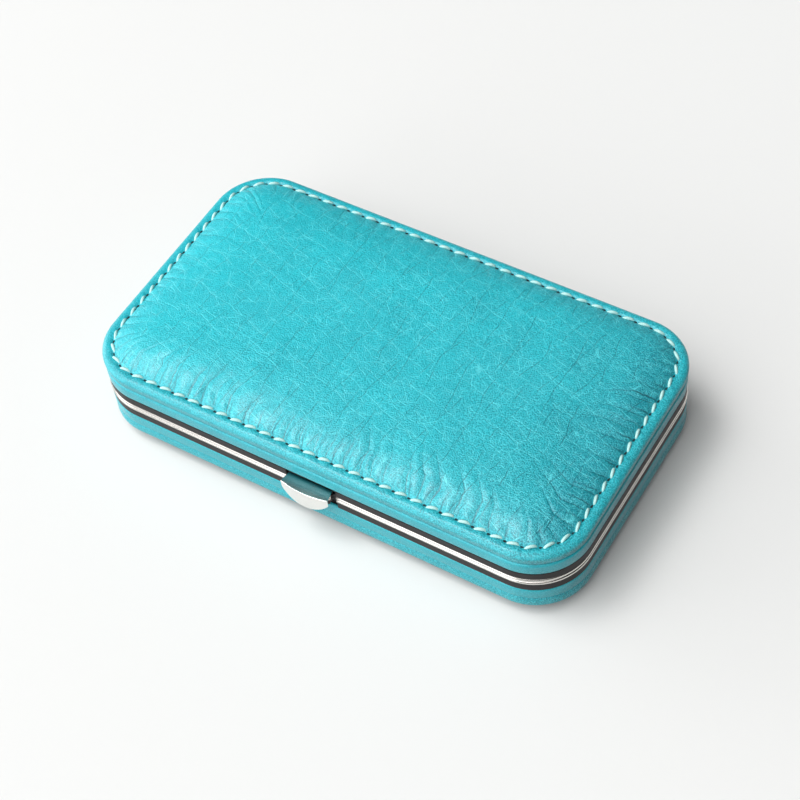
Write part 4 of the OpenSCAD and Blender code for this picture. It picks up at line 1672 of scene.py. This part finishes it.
@dataclass
class Studio:
    """Pale floor, soft light from the front left and the photograph's camera.

    The camera's azimuth is from -Y towards +X. A glow gives its azimuth from +X and its elevation in degrees,
    its focus and its strength; a lamp its azimuth, its elevation and its power in watts.
    """

    azimuth: float = 36.931
    elevation: float = 52.077
    roll: float = -7.586
    distance: float = 423.44
    target: tuple[float, float, float] = (4.548, -4.797, 12.0)
    lens: float = 86.96
    sensor: float = 36.0
    floor_size: float = 4.0
    floor_colour: Colour = (0.795, 0.80, 0.79)
    floor_bounce: Colour = (0.16, 0.16, 0.16)
    backdrop: Colour = (0.92, 0.925, 0.93)
    sky: float = 0.05
    glows: tuple[Ramp, ...] = (
        (178, 8, 14, 1.2), (205, 8, 14, 1.45), (250, 8, 14, 1.13), (220, 60, 14, 2.7), (280, 60, 14, 3.2),
        (198, 67, 60, 9.0))
    lamps: tuple[tuple[float, float, float], ...] = ((180, 15, 1.1), (220, 15, 0.8), (258, 13, 1.3))
    lamp_away: float = 0.75
    lamp_size: float = 0.45

    @staticmethod
    def towards(azimuth: float, elevation: float) -> Vector:
        """Direction at an azimuth from +X and an elevation, in degrees."""
        a, e = math.radians(azimuth), math.radians(elevation)
        return Vector((math.cos(a) * math.cos(e), math.sin(a) * math.cos(e), math.sin(e)))

    def camera(self) -> None:
        """Places the camera."""
        back = self.towards(self.azimuth - 90, self.elevation)
        right = self.towards(self.azimuth, 0)
        up = back.cross(right)
        c, s = math.cos(math.radians(self.roll)), math.sin(math.radians(self.roll))
        data = bpy.data.cameras.new("camera")
        data.lens, data.sensor_width = self.lens, self.sensor
        data.clip_start, data.clip_end = 0.01, 50
        camera = bpy.data.objects.new("camera", data)
        matrix = Matrix((c * right + s * up, c * up - s * right, back)).transposed().to_4x4()
        matrix.translation = (Vector(self.target) + back * self.distance) * MM
        camera.matrix_world = matrix
        bpy.context.scene.collection.objects.link(camera)
        bpy.context.scene.camera = camera

    def floor(self) -> None:
        """Lays the floor."""
        deselect()
        bpy.ops.mesh.primitive_plane_add(size=self.floor_size, location=(0, 0, -0.02 * MM))
        floor = bpy.context.object
        floor.name = "floor"
        graph = Graph("floor_paper")
        bounced = graph.add("ShaderNodeLightPath").outputs["Is Diffuse Ray"]
        graph.set(Base_Color=graph.blend(bounced, self.floor_colour, self.floor_bounce), Roughness=0.9)
        floor.data.materials.append(graph.material)

    def hang_lamps(self) -> None:
        """Hangs the soft lamps round the left and the front."""
        for i, (azimuth, elevation, watts) in enumerate(self.lamps):
            data = bpy.data.lights.new(f"lamp_{i}", "AREA")
            data.shape, data.size, data.energy = "DISK", self.lamp_size, watts
            lamp = bpy.data.objects.new(data.name, data)
            way = self.towards(azimuth, elevation)
            lamp.location = way * self.lamp_away
            lamp.rotation_euler = way.to_track_quat("Z", "Y").to_euler()
            bpy.context.scene.collection.objects.link(lamp)

    def room(self) -> None:
        """Sets the room's light, nearly dark with broad glows, and the background that the camera sees."""
        world = bpy.data.worlds.new("room")
        bpy.context.scene.world = world
        world.use_nodes = True
        nodes = Nodes(world.node_tree, "ShaderNodeOutputWorld")
        looking = nodes.add("ShaderNodeTexCoord").outputs["Generated"]
        strength: object = self.sky
        for azimuth, elevation, focus, power in self.glows:
            feeds = {0: looking, 1: self.towards(azimuth, elevation)}
            facing = nodes.add("ShaderNodeVectorMath", feeds, operation="DOT_PRODUCT").outputs["Value"]
            glow = nodes.math("POWER", nodes.math("MAXIMUM", facing, 0.0), focus)
            strength = nodes.math("ADD", nodes.math("MULTIPLY", glow, power), strength)
        sky = nodes.add("ShaderNodeBackground", {"Color": (1, 1, 1, 1), "Strength": strength})
        seen = nodes.add("ShaderNodeBackground", {"Color": (*self.backdrop, 1)})
        straight = nodes.add("ShaderNodeLightPath").outputs["Is Camera Ray"]
        mix = nodes.add("ShaderNodeMixShader", {0: straight, 1: sky.outputs[0], 2: seen.outputs[0]})
        nodes.feed(nodes.surface, mix.outputs[0])

    def build(self) -> None:
        """Sets up the studio."""
        self.camera()
        self.floor()
        self.hang_lamps()
        self.room()
        bpy.context.scene.view_settings.view_transform = "Standard"


# How far each half's pad rises, its highest point above the parting plane and its notch for the latch.
HALVES = {Half.LID: (3.0, 12.35, 16.0), Half.BASE: (3.3, 12.0, 18.0)}


def main() -> None:
    """Builds every piece in order."""
    logging.basicConfig(level=logging.INFO, format="%(name)s: %(message)s")
    Studio().build()
    for half, (rise, top, notch) in HALVES.items():
        cover = PaddedCover(half, rise, top)
        cover.build()
        FoamPad(cover).build()
        Stitches(cover).build()
        SideStrip(half).build()
        VelourTray(half, notch).build()
    push_button()
    for piece in SOFTENED:
        piece.build()
    dress_kept_nodes()


if __name__ == "__main__":
    main()
